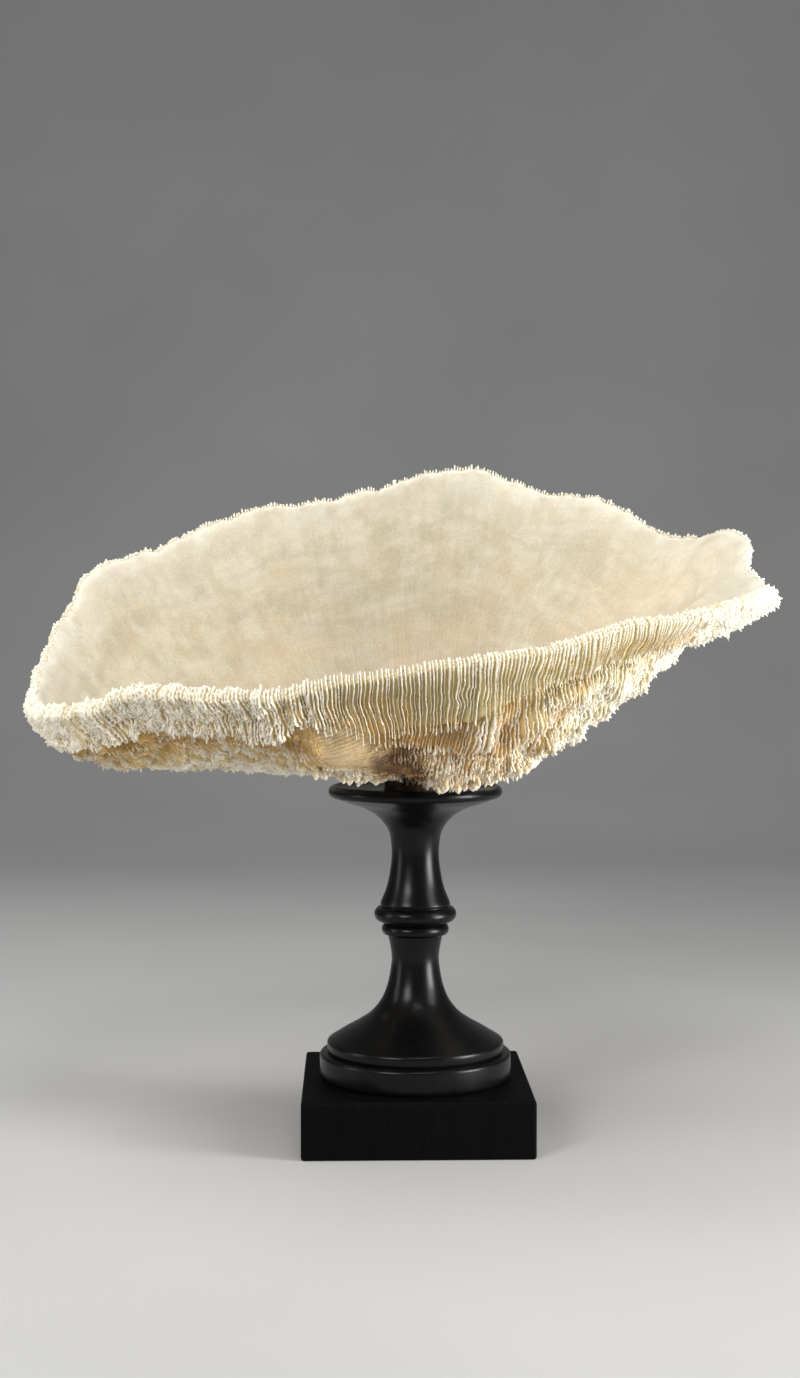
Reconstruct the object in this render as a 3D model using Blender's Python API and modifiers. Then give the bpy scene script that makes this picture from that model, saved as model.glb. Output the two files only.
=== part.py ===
"""Cup coral on a turned stand.

A dished, plate-like stony coral stands mouth up on a small brown seat, held by
a steel pin in a turned, ebonised column, which is tenoned into a square plinth.

Frame: metres, +Z up. The origin is the centre of the plinth's underside, on the
turning axis of the stand. +X is to the right and -Y is the side the coral's
mouth leans towards.
"""

import math

import bmesh
import bpy
import numpy as np

MM = 0.001
GAP = 0.3  # clearance between touching pieces, mm

# ---------------------------------------------------------------- stand, mm
PLINTH_SIDE = 120.0
PLINTH_HEIGHT = 30.0
PLINTH_EDGE = 1.6  # rounded arris

TENON_RADIUS = 12.0
TENON_DEPTH = 16.0

FOOT_RADIUS = 51.3  # lower disc of the foot
FOOT_TOP = 43.6
RING_RADIUS = 47.3  # upper disc of the foot
RING_TOP = 50.2
STEM_WAIST = (12.7, 94.0)  # radius, height of the thinnest point of the stem
BEAD_SMALL = (18.0, 109.2, 2.7)  # radius, height, half height
BEAD_LARGE = (22.0, 117.4, 4.1)
NECK_FOOT = (18.6, 123.6)
NECK_WAIST = (12.7, 148.5)
LIP_RADIUS = 46.5
LIP_HEIGHT = 183.1
LIP_HALF = 3.3
DISH_FLOOR = 183.8

SEAT_RADIUS = 16.4
SEAT_TOP = 192.2

PIN_RADIUS = 3.0
PIN_FOOT = 150.0
PIN_TOP = 201.0

TURN_STEPS = 32

# ---------------------------------------------------------------- coral, mm
SCAR_RADIUS = 20.0  # flat cut where the coral grew on the reef
SCAR_HEIGHT = SEAT_TOP + GAP
UNDERSIDE = 191.2  # height of the underside just outside the cut

# The rim, counter-clockwise from above, starting at the right-hand tip:
# azimuth, distance from the stand's axis, height above the table. It lies on a
# plane that leans forwards, droops at both ends and is lobed by uneven growth.
RIM = (
    (0, 194, 286),  # right-hand tip, a flat flared lip
    (7, 194, 295), (12, 193, 302),  # notch behind the tip
    (18, 203, 318), (23, 202, 325),  # right-hand ear
    (30, 196, 323), (37, 190, 326),
    (45, 185, 342), (52, 179, 350), (60, 173, 352),  # right-hand shoulder
    (68, 169, 361), (76, 166, 369), (90, 164, 363),  # crest
    (105, 166, 352), (120, 175, 345), (135, 190, 325),
    (148, 205, 310), (155, 210, 302),  # left-hand shoulder
    (162, 211, 272), (169, 210, 254), (180, 208, 234),
    (188, 204, 229),  # left-hand tip, the lowest point
    (198, 200, 229), (209, 189, 231), (218, 177, 240), (226, 168, 240),
    (240, 153, 239), (255, 143, 247), (270, 139, 253), (285, 140, 258),
    (300, 147, 265), (310, 154, 273), (319, 162, 275), (330, 173, 280),
    (345, 187, 286),
)
# Where the underside turns up into the wall: azimuth, distance, height, and
# how tightly it turns. The left wing is flat below with a short steep wall,
# the right side rises like a cone.
TURN = (
    (0, 65, 215, 1.2), (30, 120, 221, 1.2), (60, 110, 219, 1.3),
    (90, 108, 213, 1.3), (120, 112, 207, 1.4), (150, 134, 199, 1.8),
    (180, 174, 194, 2.6), (197, 182, 195, 2.8), (212, 152, 202, 2.0),
    (226, 130, 201, 1.5), (240, 120, 198, 2.0), (255, 114, 191, 1.8),
    (270, 111, 185, 1.7), (285, 122, 184, 1.5), (300, 131, 189, 1.3),
    (315, 125, 199, 1.1), (330, 110, 211, 0.9), (345, 84, 216, 0.8),
)
RIM_WALL = 5.0  # skeleton thickness at the rim
BASE_WALL = 13.0  # and over the attachment

CAGE_COLUMNS = 40
CAGE_RINGS = (0.14, 0.32, 0.52, 0.72, 0.88, 1.0)


# ------------------------------------------------------------------ helpers
def around(rows, azimuth):
    """A smooth closed curve through rows of (azimuth, value, ...)."""
    rows = np.asarray(rows, float)
    at = np.concatenate([rows[:, 0] - 360, rows[:, 0], rows[:, 0] + 360])
    value = np.vstack([rows[:, 1:]] * 3)
    azimuth = azimuth % 360.0
    i = int(np.searchsorted(at, azimuth, side="right")) - 1

    def slope(j):
        return (value[j + 1] - value[j - 1]) / (at[j + 1] - at[j - 1])

    h = at[i + 1] - at[i]
    s = (azimuth - at[i]) / h
    return (
        value[i] * (1 + 2 * s) * (1 - s) ** 2
        + slope(i) * h * s * (1 - s) ** 2
        + value[i + 1] * s * s * (3 - 2 * s)
        - slope(i + 1) * h * s * s * (1 - s)
    )


def meridian(azimuth, t):
    """Distance and height of the coral's outer surface, t from cut to rim."""
    rim_r, rim_z = around(RIM, azimuth)
    turn_r, turn_z, tight = around(TURN, azimuth)
    a, b, c = (1 - t) ** 2, 2 * t * (1 - t) * tight, t * t
    whole = a + b + c
    return (
        (a * SCAR_RADIUS + b * turn_r + c * rim_r) / whole,
        (a * UNDERSIDE + b * turn_z + c * rim_z) / whole,
    )


def material(name, colour, roughness, metallic=0.0):
    m = bpy.data.materials.new(name)
    m.use_nodes = True
    shader = m.node_tree.nodes["Principled BSDF"]
    shader.inputs["Base Color"].default_value = (*colour, 1.0)
    shader.inputs["Roughness"].default_value = roughness
    shader.inputs["Metallic"].default_value = metallic
    m.diffuse_color = (*colour, 1.0)
    return m


def piece(name, bm, mat, collection, smooth=None):
    mesh = bpy.data.meshes.new(name)
    bm.to_mesh(mesh)
    bm.free()
    ob = bpy.data.objects.new(name, mesh)
    collection.objects.link(ob)
    if mat:
        mesh.materials.append(mat)
    if smooth is not None:
        mesh.shade_smooth()
        mesh.set_sharp_from_angle(angle=math.radians(smooth))
    return ob


def turned(name, profile, mat, collection, steps=TURN_STEPS, smooth=30):
    """Turn a profile of (radius, height), top to bottom, about the Z axis."""
    bm = bmesh.new()
    line = [bm.verts.new((r * MM, 0.0, z * MM)) for r, z in profile]
    for a, b in zip(line, line[1:]):
        bm.edges.new((a, b))
    ob = piece(name, bm, mat, collection, None)
    screw = ob.modifiers.new("Turning", "SCREW")
    screw.axis = "Z"
    screw.angle = math.tau
    screw.steps = screw.render_steps = steps
    screw.use_merge_vertices = True
    screw.merge_threshold = 0.00001
    screw.use_smooth_shade = smooth is not None
    return ob


def cutter(name, radius, low, high, collection):
    """A drill: a vertical cylinder on the axis."""
    bm = bmesh.new()
    bmesh.ops.create_cone(
        bm, cap_ends=True, segments=20, radius1=radius * MM, radius2=radius * MM,
        depth=(high - low) * MM,
    )
    bmesh.ops.translate(bm, verts=bm.verts, vec=(0, 0, (low + high) / 2 * MM))
    ob = piece(name, bm, None, collection)
    ob.hide_render = True
    ob.display_type = "WIRE"
    return ob


def drill(ob, tool):
    cut = ob.modifiers.new("Drill " + tool.name, "BOOLEAN")
    cut.operation = "DIFFERENCE"
    cut.solver = "EXACT"
    cut.object = tool


def half_round(radius, height, half, out, steps, back):
    """Points round a bead from its top to its bottom, standing out from `back`."""
    rows = []
    for k in range(steps + 1):
        a = math.pi * (0.5 - k / steps)
        rows.append((back + out * math.cos(a), height + half * math.sin(a)))
    return rows


def cove(points, count):
    """A smooth turned curve through a few (radius, height) stations."""
    p = np.asarray(points, float)
    d = np.concatenate([[0], np.cumsum(np.hypot(*np.diff(p, axis=0).T))])
    tangent = np.gradient(p, d, axis=0)
    rows = []
    for s in np.linspace(0, d[-1], count):
        i = min(int(np.searchsorted(d, s, side="right")) - 1, len(d) - 2)
        h = d[i + 1] - d[i]
        u = (s - d[i]) / h
        rows.append(tuple(
            p[i] * (1 + 2 * u) * (1 - u) ** 2
            + tangent[i] * h * u * (1 - u) ** 2
            + p[i + 1] * u * u * (3 - 2 * u)
            - tangent[i + 1] * h * u * u * (1 - u)
        ))
    return rows


# -------------------------------------------------------------------- scene
for ob in list(bpy.data.objects):
    bpy.data.objects.remove(ob, do_unlink=True)

parts = bpy.data.collections.new("cup_coral_on_stand")
tools = bpy.data.collections.new("cutters")
bpy.context.scene.collection.children.link(parts)
bpy.context.scene.collection.children.link(tools)

coral_white = material("coral_skeleton", (0.86, 0.78, 0.65), 0.85)
brown = material("seat_brown", (0.10, 0.055, 0.03), 0.6)
black = material("column_ebonised", (0.012, 0.013, 0.015), 0.32)
plinth_black = material("plinth_ebonised", (0.012, 0.012, 0.013), 0.4)
steel = material("pin_steel", (0.55, 0.55, 0.56), 0.35, 1.0)

# ------------------------------------------------------------------- plinth
bm = bmesh.new()
bmesh.ops.create_cube(bm, size=1.0)
bmesh.ops.scale(bm, verts=bm.verts, vec=(PLINTH_SIDE * MM, PLINTH_SIDE * MM, PLINTH_HEIGHT * MM))
bmesh.ops.translate(bm, verts=bm.verts, vec=(0, 0, PLINTH_HEIGHT / 2 * MM))
plinth = piece("plinth", bm, plinth_black, parts, smooth=35)
mortise = cutter(
    "mortise_drill", TENON_RADIUS + GAP,
    PLINTH_HEIGHT - TENON_DEPTH - GAP, PLINTH_HEIGHT + 5, tools,
)
round_over = plinth.modifiers.new("Arris", "BEVEL")
round_over.width = PLINTH_EDGE * MM
round_over.segments = 3
round_over.limit_method = "ANGLE"
drill(plinth, mortise)

# ------------------------------------------------------------------- column
foot_base = PLINTH_HEIGHT + GAP
profile = [(0.0, DISH_FLOOR), (SEAT_RADIUS + 3, DISH_FLOOR), (36.0, DISH_FLOOR + 0.5)]
profile += half_round(LIP_RADIUS, LIP_HEIGHT, LIP_HALF, LIP_HALF, 5, LIP_RADIUS - LIP_HALF)
profile += cove(
    [(41.0, 178.9), (36.2, 177.2), (27.3, 174.2), (20.2, 169.7), (14.5, 162.2),
     (12.9, 154.7), NECK_WAIST, (13.7, 139.6), (15.3, 132.1), NECK_FOOT], 11)
profile += [(18.6, 122.4), (18.0, BEAD_LARGE[1] + BEAD_LARGE[2])]
profile += half_round(*BEAD_LARGE, BEAD_LARGE[0] - 18.2, 4, 18.2)
profile += [(16.9, 112.6)]
profile += half_round(*BEAD_SMALL, BEAD_SMALL[0] - 16.2, 3, 16.2)
profile += cove(
    [(14.7, 105.9), (13.6, 101.0), STEM_WAIST, (13.4, 86.8), (15.0, 79.2),
     (18.0, 71.7), (24.0, 64.1), (30.1, 59.8), (38.4, 55.0), (45.4, RING_TOP + 0.4)], 12)
profile += [(46.8, RING_TOP - 0.6), (RING_RADIUS, RING_TOP - 1.8), (RING_RADIUS, FOOT_TOP + 1.0),
            (RING_RADIUS - 0.7, FOOT_TOP + 0.1)]
profile += [(49.6, FOOT_TOP), (50.7, FOOT_TOP - 0.5), (FOOT_RADIUS, FOOT_TOP - 1.6),
            (FOOT_RADIUS, foot_base + 2.0), (FOOT_RADIUS - 0.4, foot_base)]
profile += [(TENON_RADIUS, foot_base), (TENON_RADIUS, PLINTH_HEIGHT - TENON_DEPTH + 1.0),
            (TENON_RADIUS - 1.0, PLINTH_HEIGHT - TENON_DEPTH), (0.0, PLINTH_HEIGHT - TENON_DEPTH)]
column = turned("column", profile, black, parts)
pin_hole = cutter("pin_hole_drill", PIN_RADIUS + GAP, PIN_FOOT - GAP, DISH_FLOOR + 5, tools)
drill(column, pin_hole)

# --------------------------------------------------------- seat and its pin
seat = turned(
    "seat",
    [(PIN_RADIUS + GAP, SEAT_TOP), (SEAT_RADIUS - 1.4, SEAT_TOP), (SEAT_RADIUS - 0.4, SEAT_TOP - 0.5),
     (SEAT_RADIUS, SEAT_TOP - 1.6), (SEAT_RADIUS, DISH_FLOOR + GAP + 1.0),
     (SEAT_RADIUS + 0.5, DISH_FLOOR + GAP), (PIN_RADIUS + GAP, DISH_FLOOR + GAP),
     (PIN_RADIUS + GAP, SEAT_TOP)],
    brown, parts, steps=24,
)
pin = turned(
    "pin",
    [(0.0, PIN_TOP), (PIN_RADIUS - 0.6, PIN_TOP), (PIN_RADIUS, PIN_TOP - 0.6),
     (PIN_RADIUS, PIN_FOOT + 0.6), (PIN_RADIUS - 0.6, PIN_FOOT), (0.0, PIN_FOOT)],
    steel, parts, steps=16,
)

# -------------------------------------------------------------------- coral
# The outer face is drawn out ring by ring from the flat cut to the rim, then
# given the skeleton's thickness inwards and smoothed.
bm = bmesh.new()
azimuths = [360.0 * k / CAGE_COLUMNS for k in range(CAGE_COLUMNS)]


def ring_place(ring, radius_height):
    for v, azimuth in zip(ring, azimuths):
        r, z = radius_height(azimuth)
        v.co = (r * MM * math.cos(math.radians(azimuth)),
                r * MM * math.sin(math.radians(azimuth)), z * MM)


made = bmesh.ops.create_circle(bm, cap_ends=True, segments=CAGE_COLUMNS, radius=13 * MM)
ring = sorted(made["verts"], key=lambda v: math.atan2(v.co.y, v.co.x) % math.tau)
ring_place(ring, lambda azimuth: (13.0, SCAR_HEIGHT))
thickness = {v: 1.0 for v in ring}


def draw_out(ring, radius_height, wall):
    """Extrude the ring's edges once, and put the new ring in its place."""
    around_ring = set(ring)
    edges = [e for e in bm.edges if e.verts[0] in around_ring and e.verts[1] in around_ring]
    new = bmesh.ops.extrude_edge_only(bm, edges=edges)["geom"]
    verts = [g for g in new if isinstance(g, bmesh.types.BMVert)]
    by_place = {tuple(round(c, 7) for c in v.co): v for v in verts}
    out = [by_place[tuple(round(c, 7) for c in v.co)] for v in ring]
    ring_place(out, radius_height)
    for v in out:
        thickness[v] = wall
    return out


ring = draw_out(ring, lambda azimuth: (SCAR_RADIUS - 0.8, SCAR_HEIGHT), 1.0)
for t in CAGE_RINGS:
    wall = (RIM_WALL + (BASE_WALL - RIM_WALL) * (1 - t) ** 1.6) / BASE_WALL
    ring = draw_out(ring, lambda azimuth, t=t: meridian(azimuth, t), wall)
bmesh.ops.recalc_face_normals(bm, faces=bm.faces)
bm.faces.ensure_lookup_table()
if bm.faces[0].normal.z > 0:
    bmesh.ops.reverse_faces(bm, faces=bm.faces)
bm.verts.index_update()
walls = {v.index: wall for v, wall in thickness.items()}
coral = piece("coral", bm, coral_white, parts, smooth=60)
group = coral.vertex_groups.new(name="wall")
for index, wall in walls.items():
    group.add([index], wall, "REPLACE")
shell = coral.modifiers.new("Skeleton", "SOLIDIFY")
shell.thickness = BASE_WALL * MM
shell.offset = -1.0
shell.use_even_offset = True
shell.vertex_group = "wall"
smoothing = coral.modifiers.new("Smooth", "SUBSURF")
smoothing.levels = smoothing.render_levels = 1
socket = cutter("coral_pin_drill", PIN_RADIUS + GAP, SCAR_HEIGHT - 5, PIN_TOP + GAP, tools)
drill(coral, socket)
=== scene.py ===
"""The looks of a cup coral on a turned stand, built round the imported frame.

The coral's skeleton is drawn from the same rim and turn stations as the CAD
solid, then given what the solid leaves out: the ledges of its outer face, the
thin toothed blades (septa) that run up it to the rim, the fringes that hang
from each ledge, and the ribbed, banded hollow of the cup.
"""
import math

import bpy
import numpy as np
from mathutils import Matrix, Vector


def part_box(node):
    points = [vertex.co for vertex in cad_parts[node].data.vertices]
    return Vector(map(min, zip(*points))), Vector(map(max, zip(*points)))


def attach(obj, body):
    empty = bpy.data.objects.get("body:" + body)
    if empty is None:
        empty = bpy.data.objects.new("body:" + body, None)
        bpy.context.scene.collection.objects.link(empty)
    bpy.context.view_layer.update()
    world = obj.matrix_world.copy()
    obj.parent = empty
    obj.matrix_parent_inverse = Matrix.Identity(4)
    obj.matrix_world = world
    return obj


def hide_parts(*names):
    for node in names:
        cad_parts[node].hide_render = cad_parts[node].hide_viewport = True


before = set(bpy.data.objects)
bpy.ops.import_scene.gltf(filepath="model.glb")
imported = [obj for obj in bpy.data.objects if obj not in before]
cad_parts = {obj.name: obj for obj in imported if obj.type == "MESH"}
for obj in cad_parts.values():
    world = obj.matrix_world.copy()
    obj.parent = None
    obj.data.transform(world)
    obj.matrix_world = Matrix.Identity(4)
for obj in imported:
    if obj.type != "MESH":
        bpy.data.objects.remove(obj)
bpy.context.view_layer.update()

MM = 0.001
rng = np.random.default_rng(20)

# ------------------------------------------------------------------ stations
# azimuth, distance from the stand's axis, height of the rim (mm)
RIM = np.array((
    (0, 194, 286), (7, 194, 295), (12, 193, 302), (18, 203, 318), (23, 202, 325), (30, 196, 323),
    (37, 190, 326), (45, 185, 342), (52, 179, 350), (60, 173, 352), (68, 169, 361), (76, 166, 369),
    (90, 164, 363), (105, 166, 352), (120, 175, 345), (135, 190, 325), (148, 205, 310),
    (155, 210, 302), (162, 211, 272), (169, 210, 254), (180, 208, 234), (188, 204, 229),
    (198, 200, 229), (209, 189, 231), (218, 177, 240), (226, 168, 240), (240, 153, 239),
    (255, 143, 247), (270, 139, 253), (285, 140, 258), (300, 147, 265), (310, 154, 273),
    (319, 162, 275), (330, 173, 280), (345, 187, 286)), float)
# azimuth, distance, height and tightness of the underside's turn
TURN = np.array((
    (0, 65, 215, 1.2), (30, 120, 221, 1.2), (60, 110, 219, 1.3), (90, 108, 213, 1.3),
    (120, 112, 207, 1.4), (150, 134, 199, 1.8), (180, 174, 194, 2.6), (197, 182, 195, 2.8),
    (212, 152, 202, 2.0), (226, 130, 201, 1.5), (240, 120, 198, 2.0), (255, 114, 191, 1.8),
    (270, 111, 185, 1.7), (285, 122, 184, 1.5), (300, 131, 189, 1.3), (315, 125, 199, 1.1),
    (330, 110, 211, 0.9), (345, 84, 216, 0.8)), float)
# The ledges under which the outer face steps back: azimuth, place on the
# meridian (0 at the attachment, 1 at the rim), depth of the step in mm.
LEDGE_1 = np.array((
    (0, .86, 1.8), (20, .88, 2.4), (45, .86, 2.6), (70, .89, 2.2), (95, .87, 2.6), (120, .88, 2.2),
    (145, .86, 2.4), (170, .87, 2.6), (185, .87, 2.8), (197, .85, 3.4), (207, .85, 3.8),
    (216, .84, 4.6), (224, .82, 5.0), (231, .84, 5.0), (238, .84, 5.0), (245, .89, 5.4),
    (253, .86, 5.8), (261, .82, 5.6), (269, .85, 5.2), (281, .85, 4.4), (286, .87, 4.0),
    (291, .89, 3.6), (300, .905, 2.6), (311, .90, 2.0), (325, .88, 1.6), (345, .86, 1.5)), float)
LEDGE_2 = np.array((
    (0, .70, 1.6), (30, .72, 2.0), (60, .68, 2.4), (90, .71, 2.0), (120, .69, 2.4), (150, .72, 2.0),
    (180, .70, 2.4), (200, .68, 2.2), (220, .66, 2.2), (238, .62, 1.6), (246, .56, 1.2),
    (254, .58, 0.6), (259, .72, 1.2), (264, .76, 4.0), (274, .71, 5.0), (281, .66, 5.2),
    (288, .65, 5.0), (293, .68, 4.4), (300, .70, 4.2), (307, .72, 4.0), (314, .76, 3.6),
    (326, .73, 2.2), (345, .70, 1.8)), float)
LEDGE_3 = np.array((
    (0, .48, 1.6), (40, .52, 2.2), (80, .47, 2.4), (120, .50, 2.2), (160, .46, 2.4), (200, .44, 2.2),
    (230, .42, 2.0), (250, .34, 0.8), (264, .44, 1.8), (275, .50, 3.0), (288, .48, 3.2),
    (300, .50, 3.0), (320, .53, 2.6), (340, .50, 2.0)), float)
LEDGE_4 = np.array((
    (0, .27, 1.4), (60, .30, 2.0), (120, .26, 2.0), (180, .24, 2.2), (240, .20, 1.4), (270, .24, 2.2),
    (300, .28, 2.4), (330, .30, 1.8)), float)


def around(rows, az):
    """A smooth closed curve through rows of (azimuth, values...)."""
    az = np.asarray(az, float) % 360.0
    at = np.concatenate([rows[:, 0] - 360, rows[:, 0], rows[:, 0] + 360])
    v = np.vstack([rows[:, 1:]] * 3)
    sl = np.zeros_like(v)
    sl[1:-1] = (v[2:] - v[:-2]) / (at[2:] - at[:-2])[:, None]
    i = np.clip(np.searchsorted(at, az, side="right") - 1, 1, len(at) - 3)
    h = (at[i + 1] - at[i])[..., None]
    s = (az - at[i])[..., None] / h
    return (v[i] * (1 + 2 * s) * (1 - s) ** 2 + sl[i] * h * s * (1 - s) ** 2
            + v[i + 1] * s * s * (3 - 2 * s) - sl[i + 1] * h * s * s * (1 - s))


def smoothstep(a, b, x):
    s = np.clip((np.asarray(x, float) - a) / (b - a), 0, 1)
    return s * s * (3 - 2 * s)


def bump(az, t, az0, t0, waz, wt):
    """A soft round patch on the outer face, 1 in its middle."""
    d = (az - az0 + 180.0) % 360.0 - 180.0
    return np.exp(-(d / waz) ** 2 - ((t - t0) / wt) ** 2)


# --------------------------------------------------------------------- noise
def _hash(ix, iy, iz, seed):
    h = (ix * 374761393 + iy * 668265263 + iz * 1442695041 + seed * 974634777) & 0xFFFFFFFF
    h = ((h ^ (h >> 13)) * 1274126177) & 0xFFFFFFFF
    h = ((h ^ (h >> 15)) * 2246822519) & 0xFFFFFFFF
    return ((h ^ (h >> 16)) & 0xFFFFFF) / float(0xFFFFFF)


def noise(p, seed=0):
    """Smooth value noise, -1 to 1, of points (..., 3)."""
    i = np.floor(p).astype(np.int64)
    f = p - i
    f = f * f * (3 - 2 * f)
    x, y, z = i[..., 0], i[..., 1], i[..., 2]
    out = 0.0
    for dx in (0, 1):
        wx = f[..., 0] if dx else 1 - f[..., 0]
        for dy in (0, 1):
            wy = f[..., 1] if dy else 1 - f[..., 1]
            for dz in (0, 1):
                wz = f[..., 2] if dz else 1 - f[..., 2]
                out = out + wx * wy * wz * _hash(x + dx, y + dy, z + dz, seed)
    return out * 2 - 1


def fbm(p, octaves=3, seed=0, gain=0.5):
    total, amp, norm = 0.0, 1.0, 0.0
    for k in range(octaves):
        total = total + amp * noise(p * 2.03 ** k + 17.3 * k, seed + k)
        norm += amp
        amp *= gain
    return total / norm


# ------------------------------------------------------- the coral's surface
NA, NF = 1440, 261
LIP = 1.9  # the rounded lip stands this much past the last ring of the face, mm
TEETH = 1.4  # and its teeth this much more
az_grid = np.arange(NA) * 360.0 / NA
t_fine = np.linspace(0, 1, 601)


def outer(az, t):
    """The smooth outer face: azimuth, t from the attachment to the rim."""
    rim, turn = around(RIM, az), around(TURN, az)
    a, b, c = (1 - t) ** 2, 2 * t * (1 - t) * turn[..., 2], t * t
    w = a + b + c
    r = (a * 20 + b * turn[..., 0] + c * rim[..., 0]) / w
    z = (a * 191.2 + b * turn[..., 1] + c * rim[..., 1]) / w
    th = np.radians(az)
    return np.stack([r * np.cos(th), r * np.sin(th), z], -1)


def unit(v):
    return v / (np.linalg.norm(v, axis=-1, keepdims=True) + 1e-12)


def grid_normals(P):
    da = np.roll(P, -1, 0) - np.roll(P, 1, 0)
    df = np.gradient(P, axis=1)
    return unit(np.cross(da, df)), unit(df)


A_, T_ = np.meshgrid(az_grid, t_fine, indexing="ij")
raw = outer(A_, T_)
length = np.concatenate(
    [np.zeros((NA, 1)), np.cumsum(np.linalg.norm(np.diff(raw, axis=1), axis=-1), axis=1)], 1)
arc = length[:, -1] - LIP - TEETH  # mm from attachment to the lip, per azimuth
f_grid = np.linspace(0, 1, NF)
T = np.stack([np.interp(f_grid * arc[i], length[i], t_fine) for i in range(NA)])
A = np.repeat(az_grid[:, None], NF, 1)
P0 = outer(A, T)
N0, M0 = grid_normals(P0)
from_rim = (1 - f_grid)[None, :] * arc[:, None]  # mm below the lip


def f_of_t(az_i, t):
    """Fraction of the arc at which column az_i reaches t."""
    return np.interp(t, T[az_i], f_grid)


ledge_f, ledge_d = [], []
for rows, seed in ((LEDGE_1, 3), (LEDGE_2, 4), (LEDGE_3, 5), (LEDGE_4, 6)):
    k = around(rows, az_grid)
    th = np.radians(az_grid)
    ring = np.stack([170 * np.cos(th), 170 * np.sin(th), 0 * th + 9.0 * seed], -1)
    wander = 0.012 * noise(ring / 9.0, seed) + 0.012 * noise(ring / 22.0, seed + 20)
    depth = 1.35 * k[:, 1] * (1 + 0.35 * noise(ring / 13.0, seed + 40))
    ledge_f.append(np.array([f_of_t(i, t) for i, t in enumerate(k[:, 0] + wander)]))
    ledge_d.append(np.maximum(depth, 0.3))
ledge_f, ledge_d = np.array(ledge_f), np.array(ledge_d)

# The smooth swelling at the front, where the blades have not grown.
ragged = 1 + 0.45 * fbm(P0 / 6.0, 3, 17)
smooth_patch = np.clip(
    ragged * (1.7 * bump(A, T, 252, .70, 9.5, .19) + 1.4 * bump(A, T, 263, .42, 8.5, .20)) - 0.12, 0, 1)
smooth_patch = smooth_patch * (1 - smoothstep(-2, 1.5, (f_grid[None, :] - ledge_f[0][:, None]) * arc[:, None]))
smooth_patch = smooth_patch * (1 - smoothstep(257, 262, A) * smoothstep(
    -1, 1, (f_grid[None, :] - ledge_f[1][:, None]) * arc[:, None]))


def flutes(az, t, wave, seed):
    th = np.radians(az)
    return noise(np.stack([175 * np.cos(th) / wave, 175 * np.sin(th) / wave, t * 2.2], -1), seed)


rugged = 0.35 + 0.65 * np.clip(smoothstep(186, 196, A) * (1 - smoothstep(243, 256, A)) + smoothstep(286, 300, A)
                               + (T < 0.66), 0, 1)
relief = 1.1 * fbm(P0 / 30.0, 3, 11)
relief += 1.7 * rugged * fbm(P0 / 11.0, 2, 12) + 0.9 * rugged * noise(P0 / 5.5, 10)
second = np.clip(smoothstep(190, 200, A) * (1 - smoothstep(240, 248, A)) + smoothstep(274, 282, A)
                 * (1 - smoothstep(325, 335, A)), 0, 1) * smoothstep(.30, .42, T) * (1 - smoothstep(.76, .84, T))
lumps = noise(P0 / 8.5, 8)
relief += 3.2 * second * (np.abs(lumps) ** 0.8 * np.sign(lumps)) - 1.5 * second * np.exp(-(noise(P0 / 7.0, 7) / .24) ** 2)
left_roll = np.clip(smoothstep(170, 190, A) * (1 - smoothstep(246, 258, A)), 0, 1)
near_rim = np.exp(-from_rim / 22.0)
relief += 0.5 * near_rim * (flutes(A, T, 15.0, 13) + 0.8 * flutes(A, T, 7.0, 14))


def pillows(wave, seed):
    """Rounded lobes side by side with creases between them, -0.5 to 0.5."""
    return np.minimum(np.abs(flutes(A, T, wave, seed)) * 2.3, 1.0) ** 0.8 - 0.5


relief += left_roll * near_rim * (4.2 * pillows(19.0, 13) + 2.6 * pillows(9.0, 14))
cleft = np.exp(-(flutes(A, T, 9.0, 16) / .26) ** 2) * np.exp(-from_rim / 20.0)
relief -= (2.4 * left_roll + 0.2) * cleft
foot_band = smoothstep(230, 236, A) * (1 - smoothstep(312, 320, A)) * smoothstep(.10, .16, T) * (1 - smoothstep(.34, .44, T))
foot_cleft = foot_band * np.exp(-(flutes(A, T, 4.2 * 1.7, 22) / .22) ** 2)
relief += 1.3 * foot_band - 3.4 * foot_cleft
# step_shade: where the face falls back under each ledge; further on it darkens and warms the colour there as painted
# shade
step_shade = np.zeros_like(T)
for k, reach in enumerate((24.0, 17.0, 14.0, 12.0)):
    x = (ledge_f[k][:, None] - f_grid[None, :]) * arc[:, None]  # mm below the ledge
    fall = smoothstep(0.0, 1.6, x) * np.exp(-np.maximum(x - 1.6, 0) / reach)
    lift = 0.62 * np.exp(np.minimum(x, 0) / 9.0) * (x <= 0) + 0.62 * (x > 0) * (1 - smoothstep(0, 1.6, x))
    relief += ledge_d[k][:, None] * (lift - 0.85 * fall)
    step_shade = np.maximum(step_shade, fall * np.minimum(ledge_d[k][:, None] / 3.5, 1))
relief += 3.4 * bump(A, T, 252, .66, 9.0, .13) + 1.5 * bump(A, T, 263, .50, 7, .10)
ridge_t = 0.80 - 0.10 * smoothstep(300, 285, A)  # the thick white ridge of the second tier
relief += 4.6 * np.exp(-((T - ridge_t) / .055) ** 2) * smoothstep(284, 298, A) * (1 - smoothstep(311, 321, A))
relief -= 2.2 * np.exp(-((T - ridge_t - .085) / .035) ** 2) * smoothstep(284, 298, A) * (1 - smoothstep(311, 321, A))
right_lumps = bump(A, T, 304, .66, 16, .16)
relief += 4.8 * right_lumps * np.maximum(fbm(P0 / 12.5, 2, 15) + 0.12, -0.35)
for az0, t0, deep in ((296, .80, 2.6), (301, .715, 2.4), (306, .80, 2.2), (291, .60, 2.4),
                      (311, .70, 2.6), (316, .66, 2.0), (222, .76, 2.4), (232, .72, 2.4), (208, .74, 2.0),
                      (214, .70, 2.0), (240, .70, 2.2), (202, .66, 2.0)):
    relief -= 1.3 * deep * bump(A, T, az0, t0, 2.6, .04)
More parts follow.
